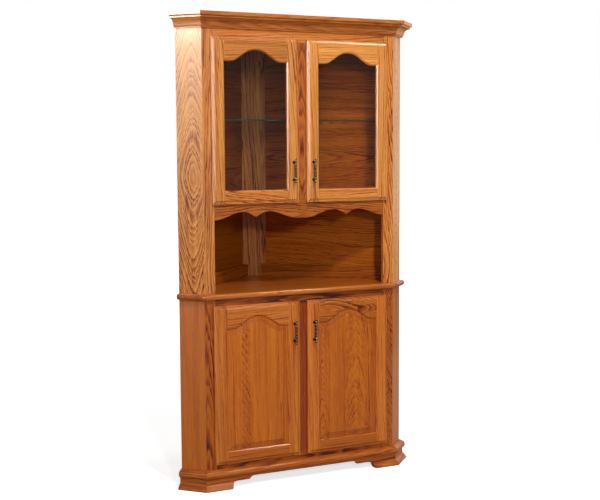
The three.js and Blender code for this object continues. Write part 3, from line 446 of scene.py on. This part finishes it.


# Other finishes

# Antique brass, by the distance from a pull's axis: dark up to a neck, bright on a ring, dark on a post. The
# dark posts are painted shade.
BRASS_NECK = 0.0034
BRASS_RING = 0.006
BRASS_RING_END = 0.0066
BRASS_POST = 0.009
BRASS_TONES = [(0.0, linear(34, 28, 22)), (0.5, linear(92, 84, 70)), (1.0, linear(162, 158, 140))]
BRASS_BLOTCHES = (500, 500, 500)
BLOTCH_REACH = 0.002
BRASS_SPOTS = (900, 900, 900)
BRASS_MOTTLE = 0.3
BRASS_ROUGHNESS = 0.48
SPOT_ROUGHNESS = 0.1
BRASS_POLISH = 0.14  # how much smoother the bright places are

# Nickel-plated steel
STEEL_TONES = [(0.2, linear(150, 148, 142)), (0.8, linear(196, 194, 188))]
STEEL_BRUSHING = (300, 300, 4000)
STEEL_ROUGHNESS = 0.34
BRUSHED_ROUGHNESS = 0.2

# Glass
# Grey window glass: partly its own tint, partly painted shade that darkens the inside of the hutch
WINDOW_TINT_AND_SHADE = (0.8, 0.81, 0.8, 1)
WINDOW_SHINE = 0.5
SHELF_TINT = (0.86, 0.95, 0.9, 1)
SHELF_SHINE = 0.3
SHELF_EDGE = (*linear(32, 56, 47), 1)
SHELF_EDGE_ROUGHNESS = 0.6
SHELF_EDGE_SHINE = 0.1
SHELF_EDGE_TURN = (0.3, 0.7)  # how far up or down a face looks before it counts as the shelf's top
GLASS_BENDING = 1.45
GLASS_WAVES = (3, 3, 3)


def aged_brass(name, axis):
    """Antique brass: bright on the rings, dark in the necks between them, and dark on the posts, which is
    painted shade.
    """
    brass = Finish("brass_" + name)
    place = brass.node("ShaderNodeTexCoord", {}, {}, "Object")
    flat = brass.node("ShaderNodeVectorMath", {"operation": "MULTIPLY"}, {0: place, 1: (1, 1, 0)})
    away = {0: flat, 1: (axis.x, axis.y, 0)}
    distance = brass.node("ShaderNodeVectorMath", {"operation": "DISTANCE"}, away, "Value")
    blotched = distance + brass.cloud(place, BRASS_BLOTCHES, seed=4.1) * BLOTCH_REACH
    wear_and_post_shade = brass.soft_step(blotched, BRASS_NECK, BRASS_RING)
    # Painted shade: the posts are kept dark
    wear_and_post_shade = wear_and_post_shade * (1 - brass.soft_step(distance, BRASS_RING_END, BRASS_POST))
    spots = brass.cloud(place, BRASS_SPOTS, seed=7.7)
    skin = {
        "Base Color": brass.ramp(wear_and_post_shade + spots * BRASS_MOTTLE, BRASS_TONES),
        "Metallic": 1.0,
        "Roughness": BRASS_ROUGHNESS - wear_and_post_shade * BRASS_POLISH + spots * SPOT_ROUGHNESS,
        "Normal": brass.bump(spots, strength=0.3, depth=0.0002),
    }
    return brass.end(brass.node("ShaderNodeBsdfPrincipled", {}, skin))


def plated_steel():
    """Nickel-plated steel, faintly brushed, for the hinges."""
    steel = Finish("hinge_steel")
    place = steel.node("ShaderNodeTexCoord", {}, {}, "Object")
    brush = steel.cloud(place, STEEL_BRUSHING, seed=2.2)
    skin = {
        "Base Color": steel.ramp(brush + 0.5, STEEL_TONES),
        "Metallic": 1.0,
        "Roughness": brush * BRUSHED_ROUGHNESS + STEEL_ROUGHNESS,
        "Normal": steel.bump(brush, strength=0.2, depth=0.0001),
    }
    return steel.end(steel.node("ShaderNodeBsdfPrincipled", {}, skin))


def clear_glass(name, tint, shine, edge=None):
    """Clear glass that lets lamps through to what is behind it. A sawn edge is matt and dark."""
    glass = Finish(name)
    coordinates = glass.node("ShaderNodeTexCoord", {}, {}, "Object")
    waves = glass.cloud(coordinates, GLASS_WAVES, seed=5.5)
    skin = {
        "Base Color": tint,
        "Transmission Weight": 1.0,
        "Roughness": 0.0,
        "IOR": GLASS_BENDING,
        "Specular IOR Level": shine,
        "Normal": glass.bump(waves, strength=0.1, depth=0.0006),
    }
    body = glass.node("ShaderNodeBsdfPrincipled", {}, skin)
    open_air = glass.node("ShaderNodeBsdfTransparent", {}, {"Color": tint})
    lamp_ray = glass.node("ShaderNodeLightPath", {}, {}, "Is Shadow Ray")
    pane = glass.blend(lamp_ray, body, open_air)
    if edge is None:
        return glass.end(pane)
    upward = glass.node("ShaderNodeSeparateXYZ", {}, {"Vector": coordinates.other("Normal")}).other("Z")
    level = glass.soft_step(glass.math("ABSOLUTE", upward), *SHELF_EDGE_TURN)
    matt = {"Base Color": edge, "Roughness": SHELF_EDGE_ROUGHNESS, "Specular IOR Level": SHELF_EDGE_SHINE}
    sawn_edge = glass.node("ShaderNodeBsdfPrincipled", {}, matt)
    return glass.end(glass.blend(level, sawn_edge, pane))


# Meshes


def modifier(piece, name, kind, settings):
    made = piece.modifiers.new(name, kind)
    for key, value in settings.items():
        setattr(made, key, value)


def round_edges(piece, width):
    """Rounds the sharp edges a little, so that they catch the light."""
    bevel = {"width": width, "segments": 2, "limit_method": "ANGLE", "angle_limit": SHARP_ANGLE}
    modifier(piece, "edges", "BEVEL", bevel)
    modifier(piece, "shading", "WEIGHTED_NORMAL", {"keep_sharp": True, "weight": FLAT_FACE_WEIGHT})


def soften(piece, width):
    """Joins the facets of a solid and rounds its edges."""
    modifier(piece, "weld", "WELD", {"merge_threshold": SAME_POINT})
    modifier(piece, "facets", "DECIMATE", {"decimate_type": "DISSOLVE", "angle_limit": FLAT_ANGLE})
    round_edges(piece, width)
    clear_shading(piece)


def clear_shading(piece):
    for name in ("custom_normal", "sharp_edge", "sharp_face"):
        attribute = piece.data.attributes.get(name)
        if attribute:
            piece.data.attributes.remove(attribute)
    piece.data.shade_smooth()


def paint(piece, material):
    piece.data.materials.clear()
    piece.data.materials.append(material)


def middle_of(piece):
    corners = [v.co for v in piece.data.vertices]
    low = Vector(min(c[i] for c in corners) for i in range(3))
    high = Vector(max(c[i] for c in corners) for i in range(3))
    return (low + high) / 2


def new_piece(name, bm, slot, body, *nodes):
    """A piece of the cupboard in place of the plain solids."""
    mesh = bpy.data.meshes.new(name)
    bm.to_mesh(mesh)
    bm.free()
    mesh.shade_smooth()
    piece = bpy.data.objects.new(name, mesh)
    bpy.context.scene.collection.objects.link(piece)
    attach(piece, body)
    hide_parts(*nodes)
    return piece


def node_mesh(node):
    bm = bmesh.new()
    bm.from_mesh(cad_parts[node].data)
    bmesh.ops.remove_doubles(bm, verts=bm.verts, dist=SAME_POINT)
    bmesh.ops.dissolve_limit(bm, angle_limit=FLAT_ANGLE, verts=bm.verts, edges=bm.edges)
    return bm


def cut(bm, point, normal):
    """Saws off what lies on the side that the normal points to, and closes the cut."""
    everything = [*bm.verts, *bm.edges, *bm.faces]
    made = bmesh.ops.bisect_plane(
        bm, geom=everything, dist=ON_THE_CUT, plane_co=point, plane_no=normal, clear_outer=True
    )
    edges = [e for e in made["geom_cut"] if isinstance(e, bmesh.types.BMEdge)]
    bmesh.ops.triangle_fill(bm, edges=edges, use_beauty=True, use_dissolve=True)
    bmesh.ops.recalc_face_normals(bm, faces=bm.faces)


def sawn(name, node, body, cuts, way, wood, **finish):
    """One board of a solid that is glued up from several. A cut is a point and a normal."""
    bm = node_mesh(node)
    for point, normal in cuts:
        cut(bm, point, normal)
    piece = new_piece(name, bm, "oak", body, node)
    clear_shading(piece)
    paint(piece, oak_board(name, middle_of(piece), way, wood, **finish))
    round_edges(piece, DOOR_EDGE)


# Boards that keep the shape of their solid


def board(node, way, wood, **finish):
    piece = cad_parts[node]
    paint(piece, oak_board(node, middle_of(piece), way, wood, **finish))
    soften(piece, BOARD_EDGE)


def hutch_back(node, way, staves):
    """A back panel of the hutch, painted darker above the deck: painted shade for the inside behind the
    glazed doors.
    """
    joint = middle_of(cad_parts[node]).z - middle_of(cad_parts["hutch_deck"]).z
    wood = Wood(staves, [joint], sway=0.008, swirl=1.2, flame=0.6, slope=0.0, red=1.1, seed=41.0)
    board(node, way, wood, **INNER_FINISH)


def carcass():
    # The left return is painted lighter towards its top: painted light from the lamps above and to its left
    left_side = flamed(
        11.0, (0.014, 0.018), -0.09, 0.27,
        tone=1.12, red=-0.35, bold=0.85, ring=0.0094, swirl=0.9, flame=0.5, fade=0.35,
    )
    board("hutch_side_left", LEFT_RETURN, left_side, lacquer=0.75, shine=0.1)
    right_side = flamed(23.0, (0.0, 0.02), 0.5, 0.3, tone=1.15, red=-0.6, bold=0.5)
    board("hutch_side_right", RIGHT_RETURN, right_side)
    board("base_side_left", LEFT_RETURN, quiet(31.0, tone=0.74, red=1.2, bold=0.4, ring=0.005))
    board("base_side_right", RIGHT_RETURN, quiet(37.0, tone=0.84, red=0.7, bold=0.4, ring=0.006))
    # The first stave of each back lies above the deck. Its lower tone is painted shade.
    hutch_back("hutch_back_left", LEFT_BACK, (
        Stave(heart=(0.12, 0.06), eye=0.9, lean=0.03, ring=0.007, bold=0.6, tone=0.31),
        Stave(heart=(0.12, 0.06), eye=0.9, lean=0.03, ring=0.009, bold=0.6, tone=0.47),
    ))
    hutch_back("hutch_back_right", RIGHT_BACK, (
        Stave(heart=(0.02, 0.02), eye=-0.05, lean=0.09, ring=0.008, bold=0.6, tone=0.5),
        Stave(heart=(-0.02, 0.03), eye=0.2, lean=0.08, ring=0.008, bold=0.8, tone=0.66),
    ))
    board("base_back_left", LEFT_BACK, quiet(47.0, tone=0.8))
    board("base_back_right", RIGHT_BACK, quiet(53.0, tone=0.8))
    post = quiet(60.0, tone=0.65, bold=0.9, ring=0.008, heart=(0.05, 0.05))
    board("hutch_corner_post", FRONT_UPRIGHT, post)
    board("base_corner_post", FRONT_UPRIGHT, quiet(61.0, tone=0.9))


def level_boards():
    counter = flamed(67.0, (0.1, 0.05), 0.3, 0.06, tone=0.82, red=0.9, bold=0.5)
    board("counter_top", LEVEL_BOARD, counter, lacquer=0.6)
    # The boards inside are dark: painted shade for the inside of the cupboard
    for number, node in enumerate(("base_floor", "base_shelf", "hutch_deck", "hutch_top")):
        board(node, LEVEL_BOARD, quiet(71.0 + number, tone=0.4, red=0.5))
    board("counter_cleat_left", LEFT_BACK, quiet(79.0, tone=0.5, red=1.0, bold=0.7), **INNER_FINISH)
    board("counter_cleat_right", RIGHT_BACK, quiet(83.0, tone=0.5, red=1.0, bold=0.7), **INNER_FINISH)


def face_frames():
    uprights = {
        "hutch_stile_left": flamed(89.0, (0.04, 0.02), -0.5, 0.06, tone=0.93, slope=0.02),
        "hutch_stile_right": flamed(97.0, (-0.04, 0.02), -0.5, 0.1, tone=1.16, red=0.1, bold=1.0),
        "hutch_mullion": flamed(101.0, (0.0, 0.01), -0.1, 0.12, tone=0.74, red=0.8),
        "base_stile_left": flamed(
            109.0, (-0.02, 0.006), -0.3, 0.12, tone=0.68, red=1.2, bold=1.1, ring=0.011
        ),
        "base_stile_right": flamed(113.0, (0.03, 0.01), 0.3, 0.3, tone=0.76, red=1.0, bold=1.0),
        "base_mullion": quiet(127.0, tone=0.46, red=1.8, bold=0.6),
    }
    rails = {
        "hutch_top_rail": quiet(103.0, tone=0.9, red=0.4, bold=0.6),
        "hutch_valance": flamed(107.0, (0.03, 0.01), -0.2, 0.09, tone=0.68, red=0.9, bold=1.0),
        # The base top rail is dark partly by its wood and partly by painted shade, the shadow under the
        # counter
        "base_top_rail": flamed(131.0, (0.0, 0.008), -0.05, 0.07, tone=0.52, red=1.1, bold=1.2, ring=0.011),
        "base_bottom_rail": flamed(137.0, (0.0, 0.01), 0.1, 0.08, tone=0.6, red=1.2, bold=1.3, ring=0.011),
    }
    for way, woods in ((FRONT_UPRIGHT, uprights), (FRONT_RAIL, rails)):
        for node, wood in woods.items():
            board(node, way, wood)


def plinth():
    board("plinth_front", FRONT_RAIL, quiet(257.0, tone=0.76, red=1.0, bold=0.8))
    board("plinth_left", LEFT_RETURN_RAIL, quiet(263.0, tone=0.72, red=1.0, bold=0.9))
    board("plinth_right", RIGHT_RETURN_RAIL, quiet(269.0, tone=0.84, red=1.0, bold=0.9))


# Doors


def door_frame(door, *woods):
    """The frame's stiles, left and right, and its rails, top and bottom, each a board of its own."""
    node = door + "_frame"
    low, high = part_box(node)
    middle = (low + high) / 2
    left_joint = Vector((low.x + DOOR_STILE + JOINT_OFFSET, 0, 0))
    right_joint = Vector((high.x - DOOR_STILE - JOINT_OFFSET, 0, 0))
    between = [(left_joint, -RIGHT), (right_joint, RIGHT)]
    boards = (
        ("_stile_left", [(left_joint, RIGHT)], FRONT_UPRIGHT),
        ("_stile_right", [(right_joint, -RIGHT)], FRONT_UPRIGHT),
        ("_top_rail", [*between, (middle, -UP)], FRONT_RAIL),
        ("_bottom_rail", [*between, (middle, UP)], FRONT_RAIL),
    )
    for (part, cuts, way), wood in zip(boards, woods):
        sawn(door + part, node, door, cuts, way, wood, end_grain=DOOR_END_GRAIN)


def raised_panel(door, staves, glue_lines, seed):
    """The panel behind a door's arch. Its bevel meets the field at a crisp line."""
    node = door + "_panel"
    bm = node_mesh(node)
    for edge in bm.edges:
        turned = edge.calc_face_angle(0)
        edge.smooth = not CRISP_ANGLE < turned < SHARP_ANGLE
    piece = new_piece(node + "_raised", bm, "oak", door, node)
    wood = Wood(staves, glue_lines, sway=0.006, swirl=1.3, flame=1.0, slope=0.0, red=1.2, seed=seed)
    paint(piece, oak_board(node, middle_of(piece), FRONT_UPRIGHT, wood, end_grain=PANEL_END_GRAIN))
    round_edges(piece, DOOR_EDGE)


def glazed_doors():
    door_frame(
        "glazed_door_left",
        quiet(139.0, tone=0.98, red=-0.1, bold=0.7),
        quiet(149.0, bold=0.8, slope=0.05),
        quiet(151.0, tone=0.78, red=0.4, bold=0.5),
        flamed(157.0, (0.03, 0.02), -0.3, 0.1, tone=1.05, red=0.2),
    )
    door_frame(
        "glazed_door_right",
        quiet(163.0, tone=1.03),
        quiet(167.0, tone=1.08, bold=0.7, slope=-0.04),
        quiet(173.0, tone=1.12, red=-0.2, bold=0.5),
        quiet(179.0, tone=1.12, red=0.1),
    )


def panel_doors():
    door_frame(
        "panel_door_left",
        quiet(181.0, tone=0.8, red=0.9),
        quiet(191.0, tone=0.88, red=0.9),
        quiet(193.0, tone=0.9, red=0.7),
        quiet(197.0, tone=0.76, red=1.1),
    )
    door_frame(
        "panel_door_right",
        quiet(199.0, tone=0.98, red=0.9),
        quiet(211.0, red=0.8),
        flamed(223.0, (0.0, 0.01), -0.1, 0.2, tone=0.8, red=0.9),
        quiet(227.0, tone=0.72, red=1.1),
    )
    plain = Stave(heart=(0.2, 0.05), eye=0.9, lean=0.02, ring=0.008, bold=0.4, tone=0.8)
    left_staves = (
        plain,
        Stave(heart=(-0.078, 0.04), eye=-0.5, lean=0.2, ring=0.006, bold=0.65, tone=0.8),
        Stave(heart=(0.3, 0.1), eye=0.9, lean=0.02, ring=0.007, bold=0.3, tone=0.84),
        Stave(heart=(0.3, 0.1), eye=0.9, lean=0.03, ring=0.006, bold=0.6, tone=0.8),
    )
    right_staves = (
        Stave(heart=(-0.126, 0.012), eye=-0.6, lean=0.2, ring=0.006, bold=0.7, tone=0.8),
        plain,
        Stave(heart=(0.035, 0.03), eye=-0.5, lean=0.2, ring=0.008, bold=0.6, tone=0.84),
        Stave(heart=(0.2, 0.03), eye=0.9, lean=0.03, ring=0.007, bold=0.7, tone=0.8),
    )
    raised_panel("panel_door_left", left_staves, [-0.078, -0.04, 0.085], 229.0)
    raised_panel("panel_door_right", right_staves, [-0.098, -0.019, 0.09], 233.0)


def glass_panes():
    pane = clear_glass("window_glass", WINDOW_TINT_AND_SHADE, WINDOW_SHINE)
    for door in GLAZED_DOORS:
        paint(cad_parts[door + "_glass"], pane)
        soften(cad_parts[door + "_glass"], GLASS_EDGE)
    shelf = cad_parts["glass_shelf"]
    paint(shelf, clear_glass("shelf_glass", SHELF_TINT, SHELF_SHINE, SHELF_EDGE))
    soften(shelf, GLASS_EDGE)


def hinges():
    steel = plated_steel()
    for door in (*GLAZED_DOORS, *PANEL_DOORS):
        for height in ("lower", "upper"):
            for part in ("arm", "cup"):
                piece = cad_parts[f"{door}_{height}_hinge_{part}"]
                paint(piece, steel)
                soften(piece, METAL_EDGE)


# Pulls

# Half of the turned spindle, from the middle to the tip, in shares of half its length along it and of
# the rings' radius across it
SPINDLE_SHARES = (
    (0.0, 0.78), (0.02, 0.86), (0.04, 0.86), (0.06, 0.74), (0.085, 0.5), (0.12, 0.52), (0.17, 0.6),
    (0.23, 0.74), (0.29, 0.84), (0.35, 0.82), (0.41, 0.7), (0.46, 0.54), (0.5, 0.46), (0.53, 0.5),
    (0.545, 0.8), (0.56, 0.93), (0.595, 0.97), (0.63, 0.93), (0.645, 0.76), (0.66, 0.68),
    (0.7, 0.74), (0.74, 0.75), (0.78, 0.68), (0.795, 0.84), (0.81, 0.97), (0.84, 1.0), (0.87, 0.97),
    (0.885, 0.74), (0.895, 0.5), (0.91, 0.52), (0.93, 0.63), (0.955, 0.62), (0.975, 0.5),
    (0.99, 0.3), (1.0, 0.06),
)
# A post, from the door to the spindle, in shares of its length and of its foot's radius
POST_SHARES = (
    (0.0, 1.0), (0.03, 1.04), (0.07, 1.0), (0.1, 0.86), (0.13, 0.7), (0.2, 0.56), (0.32, 0.5),
    (0.6, 0.48), (0.8, 0.52), (1.0, 0.62),
)


def turn_up(bm, profile, foot, axis):
    """Adds a turned shape: pairs of distance along the axis and radius."""
    side = axis.orthogonal().normalized()
    other = axis.cross(side)
    angles = [math.tau * step / PULL_STEPS for step in range(PULL_STEPS)]
    spokes = [side * math.cos(angle) + other * math.sin(angle) for angle in angles]
    rows = [
        [bm.verts.new(foot + axis * along + radius * spoke) for spoke in spokes]
        for along, radius in profile
    ]
    for low, high in zip(rows, rows[1:]):
        for i in range(PULL_STEPS):
            j = (i + 1) % PULL_STEPS
            bm.faces.new((low[i], low[j], high[j], high[i]))
    bm.faces.new(reversed(rows[0]))
    bm.faces.new(rows[-1])


def pull(door):
    node = door + "_pull"
    low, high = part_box(node)
    middle = (low + high) / 2
    axis = Vector((middle.x, low.y + PULL_RING, middle.z))
    half = PULL_LENGTH / 2
    upper = [(half * along, PULL_RING * across) for along, across in SPINDLE_SHARES]
    lower = [(-along, radius) for along, radius in reversed(upper[1:])]
    reach = high.y - axis.y
    post = [(reach * along, PULL_FOOT * radius) for along, radius in POST_SHARES]
    bm = bmesh.new()
    turn_up(bm, [*lower, *upper], axis, UP)
    for side in (-1, 1):
        foot = Vector((axis.x, high.y, axis.z + side * PULL_CENTRES / 2))
        turn_up(bm, post, foot, FORWARD)
    bmesh.ops.recalc_face_normals(bm, faces=bm.faces)
    piece = new_piece(node + "_turned", bm, "antique_brass", door, node)
    paint(piece, aged_brass(door, axis))


def pulls():
    for door in (*GLAZED_DOORS, *PANEL_DOORS):
        pull(door)


# Crown: three lengths, mitred at the front corners


def crown():
    stile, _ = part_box("hutch_stile_left")
    left_corner = Vector((stile.x, stile.y, 0))
    right_corner = Vector((-stile.x, stile.y, 0))
    left_out = Vector((-math.sin(MITRE), math.cos(MITRE), 0))
    right_out = Vector((math.sin(MITRE), math.cos(MITRE), 0))
    front = flamed(239.0, (0.0, 0.03), 0.2, 0.08, tone=0.76, red=0.7, bold=0.5)
    left = quiet(241.0, tone=1.3, red=0.1)
    right = quiet(251.0, tone=1.15)
    front_cuts = [(left_corner, left_out), (right_corner, right_out)]
    left_cuts = [(left_corner, -left_out)]
    right_cuts = [(right_corner, -right_out)]
    sawn("crown_front", "crown", "cabinet", front_cuts, FRONT_RAIL, front)
    sawn("crown_left", "crown", "cabinet", left_cuts, LEFT_RETURN_RAIL, left, lacquer=0.15)
    sawn("crown_right", "crown", "cabinet", right_cuts, RIGHT_RETURN_RAIL, right)


# Studio

# Lamps
LAMP_AIM = (0, -0.2, 1.1)
SHEEN_COLOUR = (1, 0.98, 0.93)
SHEEN_SPREAD = math.radians(70)
# What left_box falls on: the left return, and the stiles and edges that look its way
LIT_FROM_LEFT = (
    "hutch_side_left",
    "hutch_stile_left",
    "base_side_left",
    "crown_left",
    "glazed_door_left_stile_right",
    "glazed_door_right_stile_right",
)

# Backdrop
ROOM_LIGHT = 0.26
MIRRORED = 0.17  # how bright the lacquer mirrors it
MIRRORED_MORE = 0.6  # how much brighter it is mirrored behind the cupboard
BEHIND_EDGE = (-0.1, 0.35)

# Floor
FLOOR_HALF = 14.0
FLOOR_SHADE = grey(0.38)  # what light bounces off
FLOOR_WHITE = grey(0.8)  # what the shadow shows on
NEAR_GLOW = grey(0.7)
FAR_GLOW = grey(1.05)
GLOW_EDGE = (1.0, 4.0)


def camera():
    flat = Vector((math.sin(CAMERA_YAW), math.cos(CAMERA_YAW), 0))
    ahead = flat * math.cos(CAMERA_PITCH) - UP * math.sin(CAMERA_PITCH)
    side = Vector((flat.y, -flat.x, 0))
    top = side.cross(ahead)
    rolled_side = side * math.cos(CAMERA_ROLL) + top * math.sin(CAMERA_ROLL)
    rolled_top = top * math.cos(CAMERA_ROLL) - side * math.sin(CAMERA_ROLL)
    data = bpy.data.cameras.new("camera")
    data.sensor_width = SENSOR
    data.lens = SENSOR * CAMERA_FOCUS / PHOTO_WIDTH
    made = bpy.data.objects.new("camera", data)
    bpy.context.scene.collection.objects.link(made)
    turn = Matrix((rolled_side, rolled_top, -ahead)).transposed()
    made.matrix_world = Matrix.Translation(CAMERA_PLACE) @ turn.to_4x4()
    bpy.context.scene.camera = made


def lamp(name, place, aim, size, power, diffuse=True, glossy=True):
    """A soft lamp. It is not seen itself, nor through glass."""
    data = bpy.data.lights.new(name, "AREA")
    data.shape = "RECTANGLE"
    data.size, data.size_y = size
    data.energy = power
    made = bpy.data.objects.new(name, data)
    bpy.context.scene.collection.objects.link(made)
    made.location = place
    made.rotation_euler = (Vector(aim) - Vector(place)).to_track_quat("-Z", "Y").to_euler()
    made.visible_diffuse = diffuse
    made.visible_glossy = glossy
    made.visible_camera = False
    made.visible_transmission = False
    return made


def sheen_lamp(name, place, aim, size, power, falls_on=()):
    """A lamp that the lacquer mirrors. It lights nothing by way of other pieces."""
    made = lamp(name, place, aim, size, power, diffuse=False)
    made.data.color = SHEEN_COLOUR
    made.data.spread = SHEEN_SPREAD
    made.data.cycles.max_bounces = 0
    if falls_on:
        lit = bpy.data.collections.new(f"{name} falls on")
        made.light_linking.receiver_collection = lit
        for piece in falls_on:
            lit.objects.link(bpy.data.objects[piece])


def around(angle, distance, height):
    """A place round the cupboard: degrees to the right of the front, seen from the camera's side."""
    turn = math.radians(angle)
    return (distance * math.sin(turn), -distance * math.cos(turn), height)


def lamps():
    lamp("high_key", (-0.25, -2.92, 3.77), LAMP_AIM, size=(0.24, 0.24), power=64)
    lamp("low_key", around(-13, 7.2, 2.6), LAMP_AIM, size=(0.4, 0.4), power=124)
    sheen_lamp(
        "left_box", around(-66, 3.2, 3.1), (-0.5, -0.2, 2.1),
        size=(2.6, 1.5), power=240, falls_on=LIT_FROM_LEFT,
    )
    sheen_lamp("edge_box", around(-34, 3.6, 2.2), (-0.3, -0.3, 1.7), size=(1.9, 2.0), power=20)
    sheen_lamp("top_box", (1.2, -1.27, 3.41), (0.2, -0.28, 1.93), size=(0.55, 0.4), power=3.5)
    lamp("left_fill", around(-75, 3.4, 1.5), (-0.4, -0.2, 1.5), size=(1.2, 1.2), power=8, glossy=False)
    lamp("right_box", around(95, 3.2, 1.8), (0.5, -0.1, 1.3), size=(1.6, 2.4), power=42, glossy=False)


def seen_directly(finish, path):
    """One where the camera sees the thing itself, also through glass."""
    bounces = path.other("Diffuse Depth") + path.other("Glossy Depth")
    bounced = finish.math("GREATER_THAN", bounces, 0.5)
    through = path.other("Is Transmission Ray") * (1 - bounced)
    return finish.math("MAXIMUM", path.other("Is Camera Ray"), through)


def backdrop():
    """White behind the cupboard. It lights the room evenly, and mirrors dimmer on the camera's side."""
    sky = Finish("studio", bpy.data.worlds.new("studio"))
    bpy.context.scene.world = sky.owner
    path = sky.node("ShaderNodeLightPath", {}, {})
    aim = sky.node("ShaderNodeTexCoord", {}, {}, "Generated")
    backward = sky.node("ShaderNodeSeparateXYZ", {}, {"Vector": aim}).other("Y")
    behind = sky.soft_step(backward, *BEHIND_EDGE)
    mirrored = path.other("Is Glossy Ray") * (behind * MIRRORED_MORE + MIRRORED)
    rest = (1 - path.other("Is Glossy Ray")) * ROOM_LIGHT
    strength = sky.math("MAXIMUM", seen_directly(sky, path), mirrored + rest)
    light = sky.node("ShaderNodeBackground", {}, {"Color": grey(1), "Strength": strength})
    sky.end(light, "ShaderNodeOutputWorld")


def floor():
    """White where it is seen, with the cupboard's shadow, and grey where light bounces off it."""
    bm = bmesh.new()
    sides = ((-1, -1), (1, -1), (1, 1), (-1, 1))
    bm.faces.new([bm.verts.new((x * FLOOR_HALF, y * FLOOR_HALF, 0)) for x, y in sides])
    mesh = bpy.data.meshes.new("floor")
    bm.to_mesh(mesh)
    bm.free()
    ground = bpy.data.objects.new("floor", mesh)
    bpy.context.scene.collection.objects.link(ground)
    pale = Finish("pale_floor")
    place = pale.node("ShaderNodeTexCoord", {}, {}, "Object")
    seen = seen_directly(pale, pale.node("ShaderNodeLightPath", {}, {}))
    distance = pale.node("ShaderNodeVectorMath", {"operation": "LENGTH"}, {0: place}, "Value")
    glow_colour = pale.mix(pale.soft_step(distance, *GLOW_EDGE), NEAR_GLOW, FAR_GLOW)
    glow = pale.node("ShaderNodeEmission", {}, {"Color": glow_colour, "Strength": 1.0})
    white = pale.node("ShaderNodeBsdfDiffuse", {}, {"Color": FLOOR_WHITE})
    lit = pale.node("ShaderNodeAddShader", {}, {0: white, 1: glow})
    matt = pale.node("ShaderNodeBsdfDiffuse", {}, {"Color": FLOOR_SHADE})
    paint(ground, pale.end(pale.blend(seen, matt, lit)))


camera()
backdrop()
floor()
carcass()
level_boards()
face_frames()
glazed_doors()
panel_doors()
glass_panes()
hinges()
pulls()
crown()
plinth()
lamps()

bpy.context.scene.view_settings.view_transform = "Standard"
